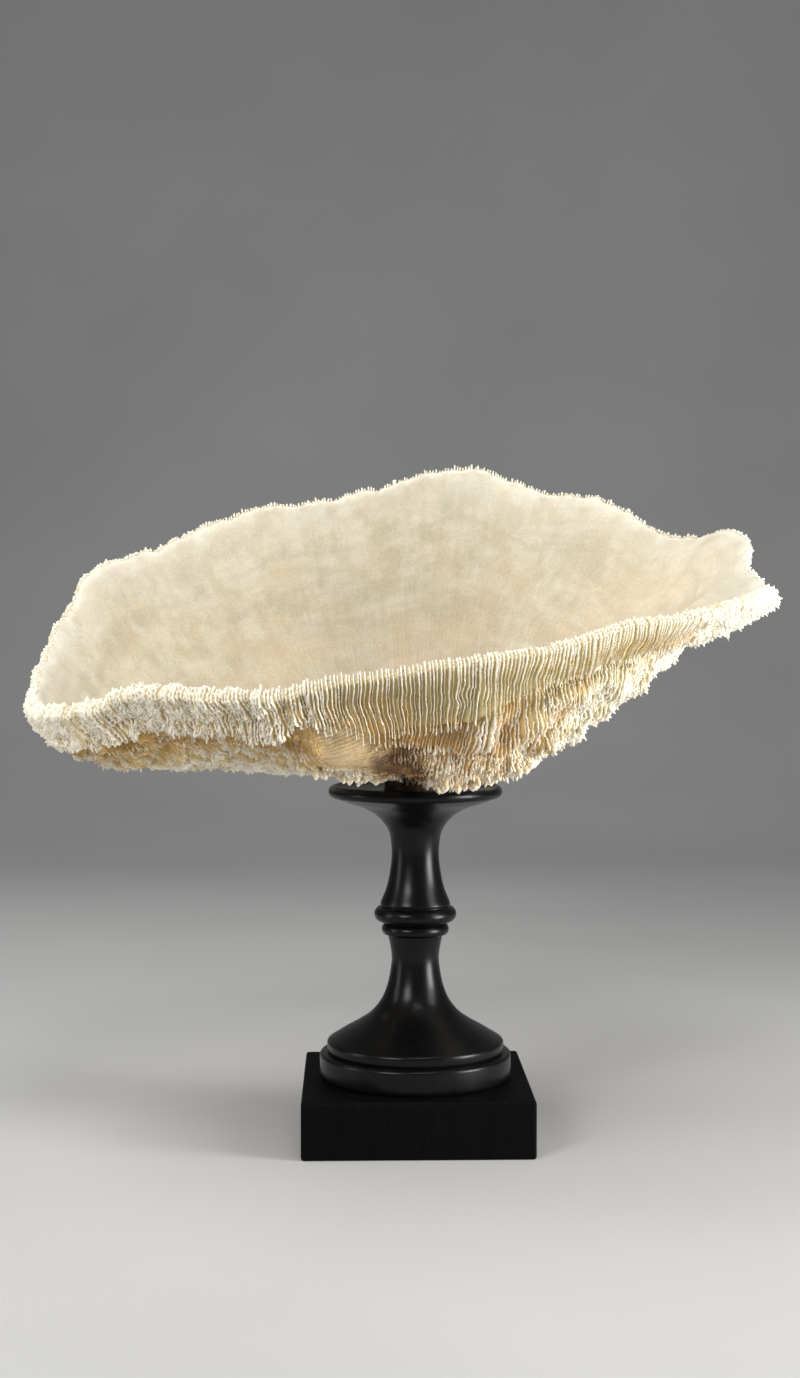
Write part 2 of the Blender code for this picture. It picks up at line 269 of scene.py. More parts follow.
relief += 9.5 * bump(A, T, 283.0, .775, 3.1, .095)  # the boss that the fan of blades grows from
relief -= 3.4 * bump(A, T, 289.0, .735, 2.0, .055) + 3.0 * bump(A, T, 297.0, .71, 2.0, .04)
relief -= 2.0 * bump(A, T, 243, .95, 3.0, .022) + 1.6 * bump(A, T, 236, .90, 3.0, .022)
# fine lines of growth over the smooth swelling
growth = from_rim / 0.26 + 9.0 * noise(P0 / 16.0, 18) + 1.4 * noise(P0 / 5.0, 19)
growth_lines = fbm(np.stack([A / 4.0, from_rim / 1.6, 0 * A], -1), 2, 9)
relief += 0.45 * smooth_patch * growth_lines
# where single swellings and hollows show in the outline
relief += 2.6 * bump(A, T, 188, .93, 8, .05)
relief -= 3.0 * bump(A, T, 197, .24, 26, .07) + 2.8 * bump(A, T, 195, .12, 26, .07) + 1.6 * bump(A, T, 196, .40, 20, .12)
relief -= 4.2 * bump(A, T, 192, .89, 7, .06) + 1.2 * bump(A, T, 196, .18, 20, .08)
relief -= 6.8 * bump(A, T, 263, .32, 7.5, .17) + 5.0 * bump(A, T, 263, .14, 8.5, .11)
relief -= 1.6 * bump(A, T, 276, .24, 6, .10)
relief -= 3.2 * bump(A, T, 300, .28, 6, .08) + 4.0 * bump(A, T, 320, .53, 7, .05)
relief -= 5.2 * bump(A, T, 329, .79, 8, .06) + 4.0 * bump(A, T, 352, .79, 10, .06) + 1.5 * bump(A, T, 350, .90, 6, .04)
relief += 4.2 * bump(A, T, 328, .68, 5, .035) - 3.6 * bump(A, T, 336, .765, 5, .035)
relief += 2.6 * bump(A, T, 353, .93, 9, .05)
relief -= 2.8 * bump(A, T, 290, .40, 7, .10) + 2.6 * bump(A, T, 308, .70, 5, .07) + 2.4 * bump(A, T, 244.5, .38, 4, .08)
# the blades' tips, not the face between them, make the outline
relief -= 1.2 * (1 - smooth_patch) * smoothstep(2, 12, from_rim)
# the smoothed attachment and the lip are left as they are
relief *= smoothstep(0.0, 0.05, f_grid)[None, :] * (0.35 + 0.25 * left_roll + (0.65 - 0.25 * left_roll) * smoothstep(0.0, 9.0, from_rim))
stout = 1.3 * left_roll + 1.6 * np.clip(bump(A, T, 190, 1, 24, 9), 0, 1) + 1.8 * np.clip(bump(A, T, 352, 1, 22, 9), 0, 1) + 0.6
wall = 4.2 + stout * np.exp(-from_rim / 14.0) + 3.4 * (1 - np.exp(-from_rim / 10.0)) + 5.6 * (1 - T) ** 1.6
relief = np.maximum(relief, -(wall - 2.4))
th = np.radians(az_grid)
ring = np.stack([175 * np.cos(th), 175 * np.sin(th), 0 * th], -1)
scallop = 0.9 * noise(ring / 7.0, 51) + 0.55 * noise(ring / 3.1, 52) + 0.8 * noise(ring / 17.0, 53)
scallop = scallop - 1.3 * left_roll[:, -1] * cleft[:, -1]
scallop = scallop * (0.75 + 0.5 * (np.cos(np.radians(az_grid - 95)) > 0.2) + 0.4 * (np.cos(np.radians(az_grid - 190)) > 0.5))
swing = 0.0 * az_grid
for az0, w, up in ((155, 5, -4.0), (143, 4, -2.5), (110, 8, -2.5), (95, 5, -2.5), (26, 5, -1.5), (18, 3, 2.0),
                   (128, 6, 1.5), (162, 3, 1.5)):
    swing += up * np.exp(-(((az_grid - az0 + 180) % 360 - 180) / w) ** 2)
scalloped = M0 * (scallop[:, None] * np.exp(-from_rim / 5.0) + swing[:, None] * np.exp(-from_rim / 16.0))[..., None]
P1 = P0 + N0 * relief[..., None] + scalloped
N1, M1 = grid_normals(P1)

# The inner face of the skeleton, a wall's thickness behind the smooth face.
inner_swell = 1.0 * fbm(P0 / 45.0, 2, 21) * smoothstep(0, 25, from_rim)
P_in = P0 - N0 * (wall + inner_swell)[..., None] + scalloped
for _ in range(6):  # ease the offset where the face turns tightly
    P_in[:, 2:-2] = 0.25 * P_in[:, 1:-3] + 0.5 * P_in[:, 2:-2] + 0.25 * P_in[:, 3:-1]

granular = np.clip(
    smoothstep(186, 196, A) * (1 - smoothstep(243, 256, A))
    + 1.2 * smoothstep(320, 334, A) + smoothstep(0, 8, 24 - A)
    + (1 - smoothstep(-1.5, 1.5, (f_grid[None, :] - ledge_f[1][:, None]) * arc[:, None])) * 0.85
    + (0.30 + 0.5 * smoothstep(284, 297, A)) * (1 - smoothstep(-1.5, 1.5, (f_grid[None, :] - ledge_f[0][:, None]) * arc[:, None]))
    + 0.25 * (fbm(P0 / 22.0, 2, 31) > 0.25), 0, 1)
near_edge = np.exp(-from_rim / 7.0)
granular = granular * (1 - 0.55 * near_edge * left_roll)
back_side = smoothstep(10, 40, A) * (1 - smoothstep(150, 185, A))
granular = np.clip(granular + 0.45 * back_side + 0.3 * back_side * noise(P0 / 20.0, 33), 0, 1)

# How warm the stone is: amber low at the front, as the stone's own colour; in the hollows and under the ledges the
# amber is partly the stone's and partly painted shade.
warm = 0.26 + 0.24 * fbm(P0 / 26.0, 3, 35)
warm += 0.85 * bump(A, T, 264, .30, 26, .42) * (1 - smoothstep(.80, .93, T))
warm += 0.40 * bump(A, T, 275, .62, 18, .20)
warm += 0.30 * bump(A, T, 252, .66, 8, .14)
# painted shade: amber under the ledges, less of it on the right
warm += (0.42 - 0.27 * smoothstep(284, 292, A) * (1 - smoothstep(345, 355, A))) * step_shade
below_1 = 1 - smoothstep(-1.5, 1.5, (f_grid[None, :] - ledge_f[0][:, None]) * arc[:, None])
warm -= 0.45 * smoothstep(296, 312, A) * (1 - step_shade) * below_1
warm += 0.16 * smoothstep(290, 310, A) * (1 - smoothstep(326, 338, A)) * (1 - below_1)
# amber in the hollows between the lumps, partly the stone's colour and partly painted shade, and amber patches
warm += 0.30 * second * smoothstep(-.1, -.5, lumps) + 0.60 * bump(A, T, 222, .71, 9, .07) + 0.5 * bump(A, T, 206, .67, 7, .06) + 0.4 * bump(A, T, 243, .95, 3, .025)
warm -= 0.16 * smoothstep(236, 246, A) * (1 - smoothstep(300, 320, A)) * (1 - below_1)
warm += 0.50 * bump(A, T, 208, .71, 4, .05) + 0.60 * bump(A, T, 220, .685, 6, .05) + 0.45 * bump(A, T, 225.5, .60, 5, .04)
warm -= 0.34 * bump(A, T, 299, .80, 12, .13)
# amber in the hollows beside the boss, which are also sunk: partly the stone's colour, partly painted shade
warm += 0.55 * bump(A, T, 300.5, .735, 3.0, .05) + 0.40 * bump(A, T, 294, .60, 4.0, .05)
warm += 0.60 * bump(A, T, 289, .735, 1.8, .04) + 0.55 * bump(A, T, 297, .71, 1.8, .035) + 0.25 * bump(A, T, 303.5, .83, 2.5, .03)
warm += 0.25 * bump(A, T, 224, .76, 10, .06)
warm -= 0.7 * bump(A, T, 283.0, .76, 3.4, .10)
# painted highlight: the lower right flank paler, partly the stone's white
warm -= 0.5 * bump(A, T, 312, .70, 10, .08)
step_shade = step_shade * (1 - np.clip(1.3 * bump(A, T, 283.0, .76, 4.2, .11), 0, 1))
# painted shade: the gap under the front of the coral, above the seat, coloured a deep brown
painted_gap_shade = np.clip(1.7 * bump(A, T, 263.8, .30, 7.2, .32) - 0.1, 0, 1)
warm = np.clip(np.clip(warm, 0, 0.66) + 0.8 * painted_gap_shade, 0, 1)
pale = np.clip(0.55 * smoothstep(305, 330, A) + 0.3 * (T > 0.9), 0, 1)


def sample(table, az, f):
    """Bilinear look-up of a table over azimuth and arc fraction."""
    x = (np.asarray(az) % 360.0) * NA / 360.0
    i = np.floor(x).astype(int)
    u = x - i
    i0, i1 = i % NA, (i + 1) % NA
    y = np.clip(f, 0, 1) * (NF - 1)
    j = np.minimum(np.floor(y).astype(int), NF - 2)
    v = y - j
    if table.ndim == 3:
        u, v = u[..., None], v[..., None]
    return ((table[i0, j] * (1 - u) + table[i1, j] * u) * (1 - v)
            + (table[i0, j + 1] * (1 - u) + table[i1, j + 1] * u) * v)


# ------------------------------------------------------------- mesh helpers
def make_mesh(name, points, faces, mat, attrs=None, smooth=True):
    """points in mm, faces an int array (n, 3) or (n, 4), or a list of both."""
    me = bpy.data.meshes.new(name)
    lists = [np.asarray(f, np.int32) for f in (faces if isinstance(faces, (list, tuple)) else [faces])]
    n_loops = sum(f.size for f in lists)
    n_polys = sum(len(f) for f in lists)
    me.vertices.add(len(points))
    me.vertices.foreach_set("co", (np.asarray(points, np.float64) * MM).astype(np.float32).ravel())
    me.loops.add(n_loops)
    me.polygons.add(n_polys)
    me.loops.foreach_set("vertex_index", np.concatenate([f.ravel() for f in lists]))
    starts, base = [], 0
    for f in lists:
        starts.append(base + np.arange(len(f)) * f.shape[1])
        base += f.size
    me.polygons.foreach_set("loop_start", np.concatenate(starts).astype(np.int32))
    me.update(calc_edges=True)
    me.validate()
    for key, value in (attrs or {}).items():
        layer = me.attributes.new(key, "FLOAT", "POINT")
        layer.data.foreach_set("value", np.asarray(value, np.float32).ravel())
    if smooth:
        me.shade_smooth()
    me.materials.append(mat)
    ob = bpy.data.objects.new(name, me)
    bpy.context.scene.collection.objects.link(ob)
    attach(ob, "root")
    return ob


def grid_faces(n_cols, n_rows, closed=True, flip=False):
    """Quads over vertices numbered column * n_rows + row."""
    c = np.arange(n_cols if closed else n_cols - 1)
    r = np.arange(n_rows - 1)
    C, R = np.meshgrid(c, r, indexing="ij")
    a = C * n_rows + R
    b = ((C + 1) % n_cols) * n_rows + R
    q = np.stack([a, b, b + 1, a + 1], -1).reshape(-1, 4)
    return q[:, ::-1] if flip else q


# ----------------------------------------------------------------- materials
def nodes_of(name):
    m = bpy.data.materials.new(name)
    m.use_nodes = True
    nt = m.node_tree
    return m, nt, nt.nodes["Principled BSDF"]


def add(nt, kind, **inputs):
    n = nt.nodes.new(kind)
    for k, v in inputs.items():
        n.inputs[k.replace("_", " ")].default_value = v
    return n


def mix_rgb(nt, fac, a, b, blend="MIX"):
    n = nt.nodes.new("ShaderNodeMix")
    n.data_type = "RGBA"
    n.blend_type = blend
    n.clamp_factor = True
    for sock, val in ((n.inputs[0], fac), (n.inputs[6], a), (n.inputs[7], b)):
        if isinstance(val, bpy.types.NodeSocket):
            nt.links.new(val, sock)
        elif isinstance(val, (int, float)):
            sock.default_value = val
        else:
            sock.default_value = (*val, 1.0)
    return n.outputs[2]


def math_node(nt, op, a, b=None, clamp=False):
    n = nt.nodes.new("ShaderNodeMath")
    n.operation = op
    n.use_clamp = clamp
    for sock, val in zip(n.inputs, (a, b)):
        if val is None:
            continue
        if isinstance(val, bpy.types.NodeSocket):
            nt.links.new(val, sock)
        else:
            sock.default_value = val
    return n.outputs[0]


def attribute(nt, name):
    n = nt.nodes.new("ShaderNodeAttribute")
    n.attribute_name = name
    return n.outputs["Fac"]


def ramp(nt, fac, stops):
    n = nt.nodes.new("ShaderNodeValToRGB")
    while len(n.color_ramp.elements) < len(stops):
        n.color_ramp.elements.new(0.5)
    for e, (at, value) in zip(n.color_ramp.elements, stops):
        e.position = at
        e.color = (*value, 1.0) if not isinstance(value, float) else (value, value, value, 1.0)
    nt.links.new(fac, n.inputs[0])
    return n.outputs[0]


def noise_tex(nt, scale, detail=3.0, rough=0.5, vector=None):
    n = nt.nodes.new("ShaderNodeTexNoise")
    n.inputs["Scale"].default_value = scale
    n.inputs["Detail"].default_value = detail
    n.inputs["Roughness"].default_value = rough
    if vector is not None:
        nt.links.new(vector, n.inputs["Vector"])
    return n.outputs["Fac"]


def object_coords(nt):
    return nt.nodes.new("ShaderNodeTexCoord").outputs["Object"]


def add_bump(nt, shader, height, distance, strength=1.0):
    n = nt.nodes.new("ShaderNodeBump")
    n.inputs["Strength"].default_value = strength
    n.inputs["Distance"].default_value = distance
    nt.links.new(height, n.inputs["Height"])
    nt.links.new(n.outputs[0], shader.inputs["Normal"])


def coral_material(name, crest, valley_cool, valley_warm, deep, grain=0.00016, lines=False):
    m, nt, bsdf = nodes_of(name)
    co = object_coords(nt)
    warmth = math_node(nt, "ADD", attribute(nt, "warm"),
                       math_node(nt, "MULTIPLY", math_node(nt, "SUBTRACT", noise_tex(nt, 90, 3, 0.6, co), 0.5), 0.5),
                       clamp=True)
    low = ramp(nt, warmth, ((0.05, valley_cool), (0.60, valley_warm), (1.0, deep)))
    top = mix_rgb(nt, math_node(nt, "MULTIPLY", warmth, 0.45), crest, (0.84, 0.68, 0.46))
    speck = noise_tex(nt, 900, 2, 0.6, co)
    height = math_node(nt, "ADD", attribute(nt, "crest"),
                       math_node(nt, "MULTIPLY", math_node(nt, "SUBTRACT", speck, 0.5), 0.35), clamp=True)
    fine = math_node(nt, "ADD", noise_tex(nt, 1500, 2, 0.7, co),
                     math_node(nt, "MULTIPLY", noise_tex(nt, 420, 3, 0.6, co), 1.2))
    if lines:  # fine lines of growth, only where the face is bare of blades
        patch = attribute(nt, "patch")
        wave = math_node(nt, "SINE", math_node(nt, "MULTIPLY", attribute(nt, "growth"), 1.0))
        thread = math_node(nt, "MULTIPLY", wave, patch)
        height = math_node(nt, "ADD", height, math_node(nt, "MULTIPLY", thread, 0.09), clamp=True)
        fine = math_node(nt, "ADD", fine, math_node(nt, "MULTIPLY", thread, 0.6))
    # pale crests over tan valleys: partly the stone's colour, partly painted shade between the blades
    col = mix_rgb(nt, ramp(nt, height, ((0.20, 0.0), (0.78, 1.0))), low, top)
    shade = ramp(nt, speck, ((0.30, 0.86), (0.55, 1.0)))
    col = mix_rgb(nt, 1.0, col, shade, "MULTIPLY")
    nt.links.new(col, bsdf.inputs["Base Color"])
    rough = math_node(nt, "ADD", math_node(nt, "MULTIPLY", speck, 0.2), 0.68)
    nt.links.new(rough, bsdf.inputs["Roughness"])
    bsdf.inputs["Specular IOR Level"].default_value = 0.28
    add_bump(nt, bsdf, fine, grain, 0.9)
    return m


# the last colour of each, a deep brown, shows where warm nears 1: the painted shade of the gap under the coral
skin_stone = coral_material("coral_skin_stone", (0.92, 0.81, 0.59), (0.53, 0.44, 0.235), (0.62, 0.40, 0.145),
                            (0.13, 0.062, 0.024), lines=True)
blade_stone = coral_material("coral_blade_stone", (0.96, 0.92, 0.80), (0.56, 0.455, 0.21), (0.68, 0.45, 0.16),
                             (0.17, 0.085, 0.035))


def cup_material():
    """The hollow: creamy stone with fine ribs, soft bands of growth, small tan stains."""
    m, nt, bsdf = nodes_of("coral_cup_stone")
    co = object_coords(nt)
    band, rib, stain, lip, tint, grey = (attribute(nt, k) for k in ("band", "crest", "warm", "lip", "tint", "grey"))
    col = ramp(nt, tint, ((0.10, (0.59, 0.515, 0.365)), (0.45, (0.655, 0.59, 0.44)), (0.85, (0.72, 0.67, 0.53))))
    cloud = noise_tex(nt, 60, 4, 0.6, co)
    col = mix_rgb(nt, 1.0, col, ramp(nt, cloud, ((0.30, 0.93), (0.70, 1.04))), "MULTIPLY")
    col = mix_rgb(nt, math_node(nt, "MULTIPLY", stain, 0.75, clamp=True), col, (0.80, 0.62, 0.43))
    col = mix_rgb(nt, math_node(nt, "MULTIPLY", band, 0.60, clamp=True), col, (0.58, 0.50, 0.36))
    col = mix_rgb(nt, grey, col, (0.61, 0.585, 0.455))
    ribshade = ramp(nt, rib, ((0.0, 0.94), (0.7, 1.01)))
    col = mix_rgb(nt, 1.0, col, ribshade, "MULTIPLY")
    speck = noise_tex(nt, 700, 3, 0.65, co)
    col = mix_rgb(nt, 1.0, col, ramp(nt, speck, ((0.32, 0.88), (0.58, 1.02))), "MULTIPLY")
    # painted shade from the tone attribute: the hollow darker towards its back and lower down, and at the dimples and
    # growth steps
    col = mix_rgb(nt, 1.0, col, attribute(nt, "tone"), "MULTIPLY")
    col = mix_rgb(nt, lip, col, (0.86, 0.83, 0.74))
    nt.links.new(col, bsdf.inputs["Base Color"])
    bsdf.inputs["Roughness"].default_value = 0.86
    bsdf.inputs["Specular IOR Level"].default_value = 0.22
    fine = math_node(nt, "ADD", noise_tex(nt, 1300, 2, 0.7, co), noise_tex(nt, 380, 3, 0.6, co))
    add_bump(nt, bsdf, fine, 0.00018, 0.9)
    return m


cup_stone = cup_material()

# ---------------------------------------------------------------- outer skin
az_cols = np.concatenate([np.arange(0, 20, 0.75), np.arange(20, 180, 1.15), np.arange(180, 350, 0.45),
                          np.arange(350, 360, 0.75)])
az_cols = np.unique(np.round(az_cols, 3))
edge = np.linspace(0, 1, 112)
rows_f = edge ** 0.86
ACOL, FROW = np.meshgrid(az_cols, rows_f, indexing="ij")
skin = sample(P1, ACOL, FROW)
# over the rounded lip to the inner side
lip_steps = np.radians((25, 50, 75, 96))
P_edge = sample(P1, az_cols, np.ones_like(az_cols))
Q_edge = sample(P_in, az_cols, np.ones_like(az_cols))
M_edge = sample(M0, az_cols, np.ones_like(az_cols))


def lip_point(P, Q, M, a, out=0.0):
    """A point on the lip's half round, a from 0 (outer face) to pi (inner face)."""
    half = (P - Q) / 2
    h = np.linalg.norm(half, axis=-1)
    return (P + Q) / 2 + half * ((h + out) / h * np.cos(a))[..., None] + M * ((LIP + out) * np.sin(a))[..., None]


lip_rows = [lip_point(P_edge, Q_edge, M_edge, np.full(len(az_cols), a)) for a in lip_steps]
tucked = lip_point(P_edge, Q_edge, M_edge, np.full(len(az_cols), math.radians(118)), -0.9)
foot_rows = []
th = np.radians(az_cols)
for r, z in ((3.4, 201.3), (3.4, 192.6), (11.0, 192.6), (19.0, 192.5)):
    foot_rows.append(np.stack([r * np.cos(th), r * np.sin(th), 0 * th + z], -1))
full = np.stack(foot_rows + [skin[:, j] for j in range(skin.shape[1])] + lip_rows + [tucked], 1)
n_c, n_r = full.shape[:2]
attr_f = np.concatenate([np.zeros(4), rows_f, np.ones(len(lip_rows) + 1)])
AA, FF = np.meshgrid(az_cols, attr_f, indexing="ij")
# the face's paleness; in the gap under the coral it is taken away as painted shade
skin_crest = 0.08 + sample(smooth_patch * (0.56 + 0.20 * growth_lines) * (1 - painted_gap_shade), AA, FF) * (1 - 0.55 * sample(warm, AA, FF))
on_top = (np.arange(n_r) >= 4 + len(rows_f) - 1)[None, :]
rim_front = smoothstep(188, 204, AA) * (1 - smoothstep(318, 340, AA))  # where only the blades' tips are pale; between them the lip takes the darker valley colour, partly as painted shade
skin_crest = np.where(on_top, 0.85 - 0.45 * rim_front, skin_crest)
skin_warm = np.where(on_top, 0.18 * rim_front, sample(warm, AA, FF))
pts = full.reshape(-1, 3)
quads = grid_faces(n_c, n_r)
cap = len(pts)
pts = np.vstack([pts, [[0, 0, 201.3]]])
ring0 = np.arange(n_c) * n_r
tris = np.stack([np.full(n_c, cap), np.roll(ring0, -1), ring0], -1)
underside = make_mesh(
    "coral_underside", pts, [quads, tris], skin_stone,
    {"crest": np.append(skin_crest.ravel(), 0), "warm": np.append(skin_warm.ravel(), 0),
     "patch": np.append(sample(smooth_patch, AA, FF).ravel(), 0),
     "growth": np.append(sample(growth, AA, FF).ravel(), 0)})
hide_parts("coral")

# ------------------------------------------------------------------- the cup
CUP_COLS, CUP_ROWS = 1160, 70
az_cup = np.arange(CUP_COLS) * 360.0 / CUP_COLS
f_cup = 1 - (1 - np.linspace(0.0, 1.0, CUP_ROWS)) ** 1.35  # rows closer together at the rim
AC, FC = np.meshgrid(az_cup, f_cup, indexing="ij")
cup = sample(P_in, AC, FC)
dist = sample(from_rim, AC, FC)
radius = np.hypot(cup[..., 0], cup[..., 1])
thc = np.radians(AC)
# ribs: every other column is a crest; the finer sets fade in outwards
col = np.arange(CUP_COLS)


def rib_set(every):
    return (np.abs(((col / every + 0.5) % 1.0) - 0.5) * 2.0) * 2 - 1


coarse, mid, fine_ = rib_set(8), rib_set(4), rib_set(2)
w_fine = smoothstep(95, 150, radius)
w_mid = smoothstep(45, 80, radius) * (1 - 0.75 * w_fine)
w_coarse = smoothstep(14, 30, radius) * (1 - 0.75 * smoothstep(45, 80, radius))
rib = w_fine * fine_[:, None] + w_mid * mid[:, None] + w_coarse * coarse[:, None]
rib *= np.clip(0.45 + 0.9 * fbm(cup / 7.0, 3, 41), 0, 1.2)
rib_h = 0.11 * rib * (1 + 1.2 * np.exp(-dist / 6.0))
streak = noise(np.stack([150 * np.cos(thc) / 3.2, 150 * np.sin(thc) / 3.2, dist / 34], -1), 61)
streak += 0.7 * noise(np.stack([150 * np.cos(thc) / 8.0, 150 * np.sin(thc) / 8.0, dist / 60], -1), 62)
rib_h = rib_h + 0.16 * streak * smoothstep(20, 60, radius)
# rows of growth: soft shallow steps and dimples
bands = dist + 5.0 * noise(cup / 38.0, 43) + 1.4 * noise(cup / 12.0, 44)
band_wave = 0.5 + 0.5 * np.sin(bands / 1.55)
band_big = 0.5 + 0.5 * np.sin(bands / 4.1 + 1.3 * noise(cup / 50.0, 45))
swell_lines = 0.34 * band_big + 0.16 * band_wave
folds = 1.5 * noise(np.stack([150 * np.cos(thc) / 24, 150 * np.sin(thc) / 24, dist / 90], -1), 46)
folds *= smoothstep(4, 22, dist) * np.exp(-dist / 75.0) * 1.7
dimples = 0.9 * fbm(cup / 17.0, 2, 47)
for az0, fz, waz, wf, deep in ((132, .88, 5.0, .05, 2.2), (104, .86, 3.0, .06, 1.6), (158, .78, 5.0, .05, 1.6),
                               (84, .90, 3.0, .04, 1.2), (50, .84, 3.5, .05, 1.5), (70, .80, 3.0, .05, 1.2)):
    d_az = (AC - az0 + 180) % 360 - 180
    dimples = dimples - deep * np.exp(-(d_az / waz) ** 2 - ((FC - fz) / wf) ** 2)
# single dimples, tinted a greenish grey and darkened as painted shade, and small tan spots (azimuth, mm below the rim,
# depth)
dimple_and_shade = np.zeros_like(dist)
for az0, below, much in ((138, 24, .9), (136.8, 40, 1.0), (111, 55, 1.0), (132, 66, .8), (150.5, 43, .8),
                         (81.5, 22, .8), (66, 27, .8), (61.8, 14, 1.0), (45, 46, .8), (25, 23, .6), (118, 34, .5)):
    dimple_and_shade += much * np.exp(-(((AC - az0 + 180) % 360 - 180) / 1.5) ** 2 - ((dist - below) / 6.0) ** 2) * (1 + 0.6 * noise(cup / 3.5, 86))
lines_at = 5.0 * noise(cup / 33.0, 81) + 1.2 * noise(cup / 9.0, 82)
growth_step = np.exp(-((dist - 36 - lines_at) / 2.0) ** 2) + 0.8 * np.exp(-((dist - 62 - lines_at) / 2.4) ** 2)
growth_step += 0.6 * np.exp(-((dist - 88 - lines_at) / 2.6) ** 2)
growth_step *= np.clip(0.45 + 0.8 * noise(cup / 24.0, 83), 0, 1)
rim_grit = 0.40 * noise(cup / 1.9, 84) * np.exp(-dist / 5.0)
cup_n = -sample(N0, AC, FC)  # into the hollow
cup = cup + cup_n * (rib_h + swell_lines + rim_grit + (folds + dimples - 1.1 * dimple_and_shade - 0.5 * growth_step) * smoothstep(0, 10, dist))[..., None]
crest_attr = np.clip(0.5 + 0.5 * rib, 0, 1)
band_attr = np.clip(0.50 * (1 - band_big) ** 2 + 0.85 * (1 - band_wave) ** 3, 0, 1) * np.clip(0.6 + 0.7 * noise(cup / 26.0, 48), 0, 1)
stain = np.clip(0.20 + 0.7 * fbm(cup / 30.0, 3, 49), 0, 1) * smoothstep(10, 60, dist)
stain += 0.30 * smoothstep(60, 110, dist) + 0.45 * np.exp(-(((AC - 24 + 180) % 360 - 180) / 14.0) ** 2 - ((dist - 32) / 22.0) ** 2)
for az0, fz, w in ((60, .93, 3.0), (42, .93, 2.5), (120, .80, 2.2), (150, .86, 2.0), (80, .7, 3.0)):
    stain += 0.8 * np.exp(-(((AC - az0 + 180) % 360 - 180) / w) ** 2 - ((FC - fz) / 0.02) ** 2)
for az0, below in ((21.8, 50), (46.5, 89), (54.2, 99), (69, 100), (42, 70)):
    stain += 0.7 * np.exp(-(((AC - az0 + 180) % 360 - 180) / 1.3) ** 2 - ((dist - below) / 3.4) ** 2)
band_attr = np.clip(band_attr + 0.75 * growth_step, 0, 1)
tip_band = 5.0 * np.exp(-(((AC - 352 + 180) % 360 - 180) / 14.0) ** 2)
tip_band += 2.2 * np.exp(-(((AC - 195 + 180) % 360 - 180) / 28.0) ** 2)
lip_attr = np.clip((0.42 + 0.30 * noise(cup / 2.6, 85)) * np.exp(-dist / (2.0 + tip_band)) + 0.26 * np.exp(-dist / 16.0) * (1 + 0.6 * noise(cup / 9.0, 63)), 0, 1)
# painted shade: darker towards the back near azimuth 92 and lower down, a little painted light near azimuth 22, darker
# at the dimples and growth steps
shade_back = 1 - 0.24 * np.exp(-(((AC - 92 + 180) % 360 - 180) / 48.0) ** 2) - 0.06 * smoothstep(40, 110, dist)
shade_back = shade_back * (1.02 + 0.06 * np.exp(-(((AC - 22 + 180) % 360 - 180) / 32.0) ** 2)) * (1 - 0.10 * np.clip(dimple_and_shade, 0, 1.2)) * (1 - 0.07 * growth_step)
tint = np.clip(0.5 + 0.85 * fbm(cup / 9.5, 3, 64) + 0.5 * fbm(cup / 3.6, 3, 68) + 0.24 * streak, 0, 1)
grey = np.clip(0.50 * dimple_and_shade + 0.50 * np.exp(-dist / 30.0) * smoothstep(3, 12, dist) * (1 + noise(cup / 16.0, 65)), 0, 1)
# over the inner half of the lip
cup_P, cup_M = sample(P1, az_cup, np.ones(CUP_COLS)), sample(M0, az_cup, np.ones(CUP_COLS))
grit = 0.30 * noise(cup[:, -1] / 1.3, 66) + 0.35 * noise(cup[:, -1] / 3.2, 67)
over = [lip_point(cup_P, cup[:, -1], cup_M, np.full(CUP_COLS, math.radians(a)), grit * math.sin(math.radians(a)))
        for a in (160, 140, 120, 102, 86)]
cup = np.concatenate([cup, np.stack(over, 1)], 1)
CUP_ROWS += len(over)


def carried(value, at_lip=None):
    """The attribute's value at the edge, carried over the lip."""
    tail = value[:, -1:] if at_lip is None else np.full((CUP_COLS, 1), at_lip)
    return np.concatenate([value, np.repeat(tail, len(over), 1)], 1)


shade_back = carried(shade_back)
crest_attr, band_attr, stain = carried(crest_attr), carried(band_attr, 0.0), carried(stain, 0.1)
lip_attr, tint, grey = carried(lip_attr, 0.45), carried(tint), carried(grey, 0.0)
# at the front the lip between the blades' tips is as dark as the face below it: less of the pale lip colour, and
# painted shade
front_lip = (smoothstep(188, 204, az_cup) * (1 - smoothstep(318, 340, az_cup)))[:, None]
lip_attr[:, -len(over):] -= 0.36 * front_lip
shade_back[:, -len(over):] *= 1 - 0.24 * front_lip
# floor of the cup, inside the smallest ring
pts = [cup.reshape(-1, 3)]
faces = [grid_faces(CUP_COLS, CUP_ROWS, flip=True)]
ring_prev = np.arange(CUP_COLS) * CUP_ROWS
base_z = float(cup[:, 0, 2].mean())
n_in = CUP_COLS // 8
th_in = np.arange(n_in) * 2 * np.pi / n_in
first = cup[:, 0]
inner_ring = first[::8] * np.array([0.62, 0.62, 0]) + np.array([0, 0, 1.0]) * (
    0.6 * first[::8, 2:3] + 0.4 * base_z)
start = len(pts[0])
pts.append(inner_ring)
ring_in = start + np.arange(n_in)
tri = []
for j in range(n_in):
    a = [ring_prev[(8 * j + k) % CUP_COLS] for k in range(9)]
    c0, c1 = ring_in[j], ring_in[(j + 1) % n_in]
    for k in range(4):
        tri.append((c0, a[k + 1], a[k]))
    tri.append((c0, c1, a[4]))
    for k in range(4, 8):
        tri.append((c1, a[k + 1], a[k]))
middle = start + n_in
pts.append(np.array([[0, 0, base_z]]))
for j in range(n_in):
    tri.append((middle, ring_in[(j + 1) % n_in], ring_in[j]))
extra = n_in + 1
cup_attrs = {}
